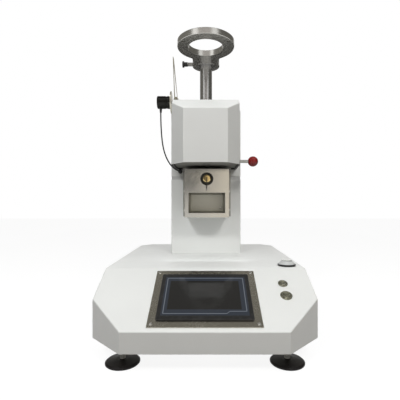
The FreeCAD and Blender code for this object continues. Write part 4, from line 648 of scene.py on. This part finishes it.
def islands(mesh):
    """The separate solids of a mesh, each as a list of its points."""
    form = bmesh.new()
    form.from_mesh(mesh)
    bmesh.ops.remove_doubles(form, verts=form.verts, dist=0.001 * MM)
    found, seen = [], set()
    for start in form.verts:
        if start in seen:
            continue
        seen.add(start)
        front, points = [start], []
        while front:
            vertex = front.pop()
            points.append(vertex.co.copy())
            for edge in vertex.link_edges:
                other = edge.other_vert(vertex)
                if other not in seen:
                    seen.add(other)
                    front.append(other)
        found.append(points)
    form.free()
    return found


# A screw head's outline by radius and height, and its recess by half an arm's width, reach and height, in mm.
HEAD_HEIGHT = 1.8
HEAD_PROFILE = ((3.55, 0), (3.6, 0.35), (3.5, 0.85), (3.15, 1.3), (2.6, 1.6), (2.05, 1.74))
RECESS_LEVELS = ((0.42, 1.65, 1.76), (0.34, 1.25, 0.95), (0.25, 0.55, 0.55))


def add_cross_screw(form, seat, out, turn, shank, depth):
    """Pan-head screw with a cross recess; seat is the middle of the head's underside, out its axis."""
    side = out.orthogonal().normalized()
    side.rotate(Matrix.Rotation(turn, 3, out))
    up = out.cross(side)

    def put(across, along, high):
        return form.verts.new(seat + (side * across + up * along + out * high) * MM)

    steps, rings = 24, []
    for radius, high in ((shank, -depth), (shank, -0.01), *HEAD_PROFILE):
        angles = [math.tau * n / steps for n in range(steps)]
        rings.append([put(radius * math.cos(angle), radius * math.sin(angle), high) for angle in angles])
    for first, second in zip(rings, rings[1:]):
        for n in range(steps):
            m = (n + 1) % steps
            form.faces.new([first[n], first[m], second[m], second[n]])
    form.faces.new(list(reversed(rings[0])))
    levels = []
    for wide, arm, high in RECESS_LEVELS:
        corners = []
        for quarter in range(4):
            turned_by = Matrix.Rotation(quarter * math.pi / 2, 2)
            for corner in ((arm, -wide), (arm, wide), (wide, wide)):
                corners.append(turned_by @ Vector(corner))
        levels.append([put(corner.x, corner.y, high) for corner in corners])
    for first, second in zip(levels, levels[1:]):
        for n in range(len(first)):
            m = (n + 1) % len(first)
            form.faces.new([first[n], first[m], second[m], second[n]])
    form.faces.new(levels[-1])
    top = levels[0]
    for quarter in range(4):
        arm = [top[(3 * quarter + n) % len(top)] for n in range(4)]
        rim = [rings[-1][(steps // 4 * quarter + n) % steps] for n in range(-1, steps // 4)]
        form.faces.new([arm[0], rim[0], rim[1], rim[2], arm[1]])
        form.faces.new([arm[1], *rim[2:], arm[3], arm[2]])


def make_screws():
    """Cross-recessed screws in the places of the plain ones."""
    form = bmesh.new()
    slope = Vector((0, -math.sin(SLOPE), math.cos(SLOPE)))
    for number, points in enumerate(islands(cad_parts["panel_screws"].data)):
        middle = sum(points, Vector()) / len(points)
        if middle.y < SLOPE_FOOT.y + SLOPE_REACH:
            axis = slope
        else:
            axis = Vector((0, 1 if middle.y > POST_AXIS.y else -1, 0))
        heights = [point.dot(axis) for point in points]
        across = [(point - middle) - axis * (point - middle).dot(axis) for point in points]
        shank = min(offset.length for offset in across if offset.length > 0.5 * MM) / MM
        seat = middle + axis * (max(heights) - HEAD_HEIGHT * MM - middle.dot(axis))
        depth = (max(heights) - min(heights)) / MM - HEAD_HEIGHT
        turn = 0.4 + 1.3 * number
        add_cross_screw(form, seat, axis, turn, shank, depth)
    bmesh.ops.recalc_face_normals(form, faces=form.faces)
    screws = mesh_object("cross_screws", form)
    screws.data.materials.append(brushed("screw_steel", (0.56, 0.55, 0.52), 0.25))
    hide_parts("panel_screws")
    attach(screws, "stand")


def slab(form, low, high):
    """Adds a block between two corners, its edges broken by a small bevel."""
    corners = [form.verts.new((x, y, z)) for x in (low[0], high[0]) for y in (low[1], high[1])
               for z in (low[2], high[2])]
    faces = [form.faces.new([corners[n] for n in loop])
             for loop in ((0, 1, 3, 2), (4, 6, 7, 5), (0, 4, 5, 1), (2, 3, 7, 6), (0, 2, 6, 4), (1, 5, 7, 3))]
    edges = list({edge for face in faces for edge in face.edges})
    least = min(high[n] - low[n] for n in range(3))
    bmesh.ops.bevel(form, geom=edges, offset=least * 0.15, segments=2, affect="EDGES", profile=0.6)


def make_blade_holder():
    """Dark cheeks that hold the blade in the hub's slot."""
    low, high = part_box("cutter_blade")
    hub_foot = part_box("cutter_hub")[0].z
    play, thickness = 0.03 * MM, 0.75 * MM
    form = bmesh.new()
    for left, right in ((low.x - play - thickness, low.x - play), (high.x + play, high.x + play + thickness)):
        slab(form, (left, low.y - 0.25 * MM, low.z + 6 * MM), (right, low.y + 7.5 * MM, hub_foot + 14 * MM))
    holder = mesh_object("blade_cheeks", form)
    holder.data.materials.append(brushed("cheek_steel", (0.05, 0.047, 0.04), 0.35))
    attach(holder, "cutter")


def make_edge_seals():
    """Black edging on the lower edges of the shroud's side walls, and black strips where the shroud meets the
    column, a dark sheet standing in for the shadowed gap there.
    """
    rubber = moulded("edge_rubber_and_gap_shadow", (0.007, 0.007, 0.007), 0.55)
    low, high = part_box("furnace_shroud")
    wall, end_gap, bevelled_front = 1 * MM, 1 * MM, 50 * MM
    profile = [(-4.6 * MM, -1.8 * MM), (2.2 * MM, -1.8 * MM), (2.2 * MM, 5 * MM), (1.05 * MM, 5.5 * MM),
               (1.05 * MM, 0), (-1.05 * MM, 0), (-1.05 * MM, 2.4 * MM), (-4.6 * MM, 2 * MM)]
    for name, side in (("edge_seal_left", -1), ("edge_seal_right", 1)):
        x = side * (high.x - wall)
        path = [Vector((x, low.y + bevelled_front, low.z)), Vector((x, high.y - end_gap, low.z))]
        seal = sweep(name, path, profile, [Vector((side, 0, 0))] * 2)
        seal.data.materials.append(rubber)
        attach(seal, "stand")
    # Painted shadow: black slabs fill the gap between the shroud's floor and the column beside the cutter
    # box, where there is only shade.
    column_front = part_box("column_head")[0].y
    case_low, case_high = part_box("cutter_box")
    form = bmesh.new()
    for left, right in ((low.x + 4 * MM, case_low.x - end_gap), (case_high.x + end_gap, high.x - 4 * MM)):
        slab(form, (left, column_front - 4.5 * MM, low.z - 1.2 * MM),
             (right, column_front - 0.1 * MM, low.z + 2.9 * MM))
    gap_shadow = mesh_object("column_gap_shadow", form)
    gap_shadow.data.materials.append(rubber)
    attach(gap_shadow, "stand")


bpy.context.scene.view_settings.view_transform = "Standard"
make_camera()
make_world()
make_floor()
make_lamps()
make_flags()
dress_nodes()
make_cable()
make_screws()
make_blade_holder()
make_edge_seals()
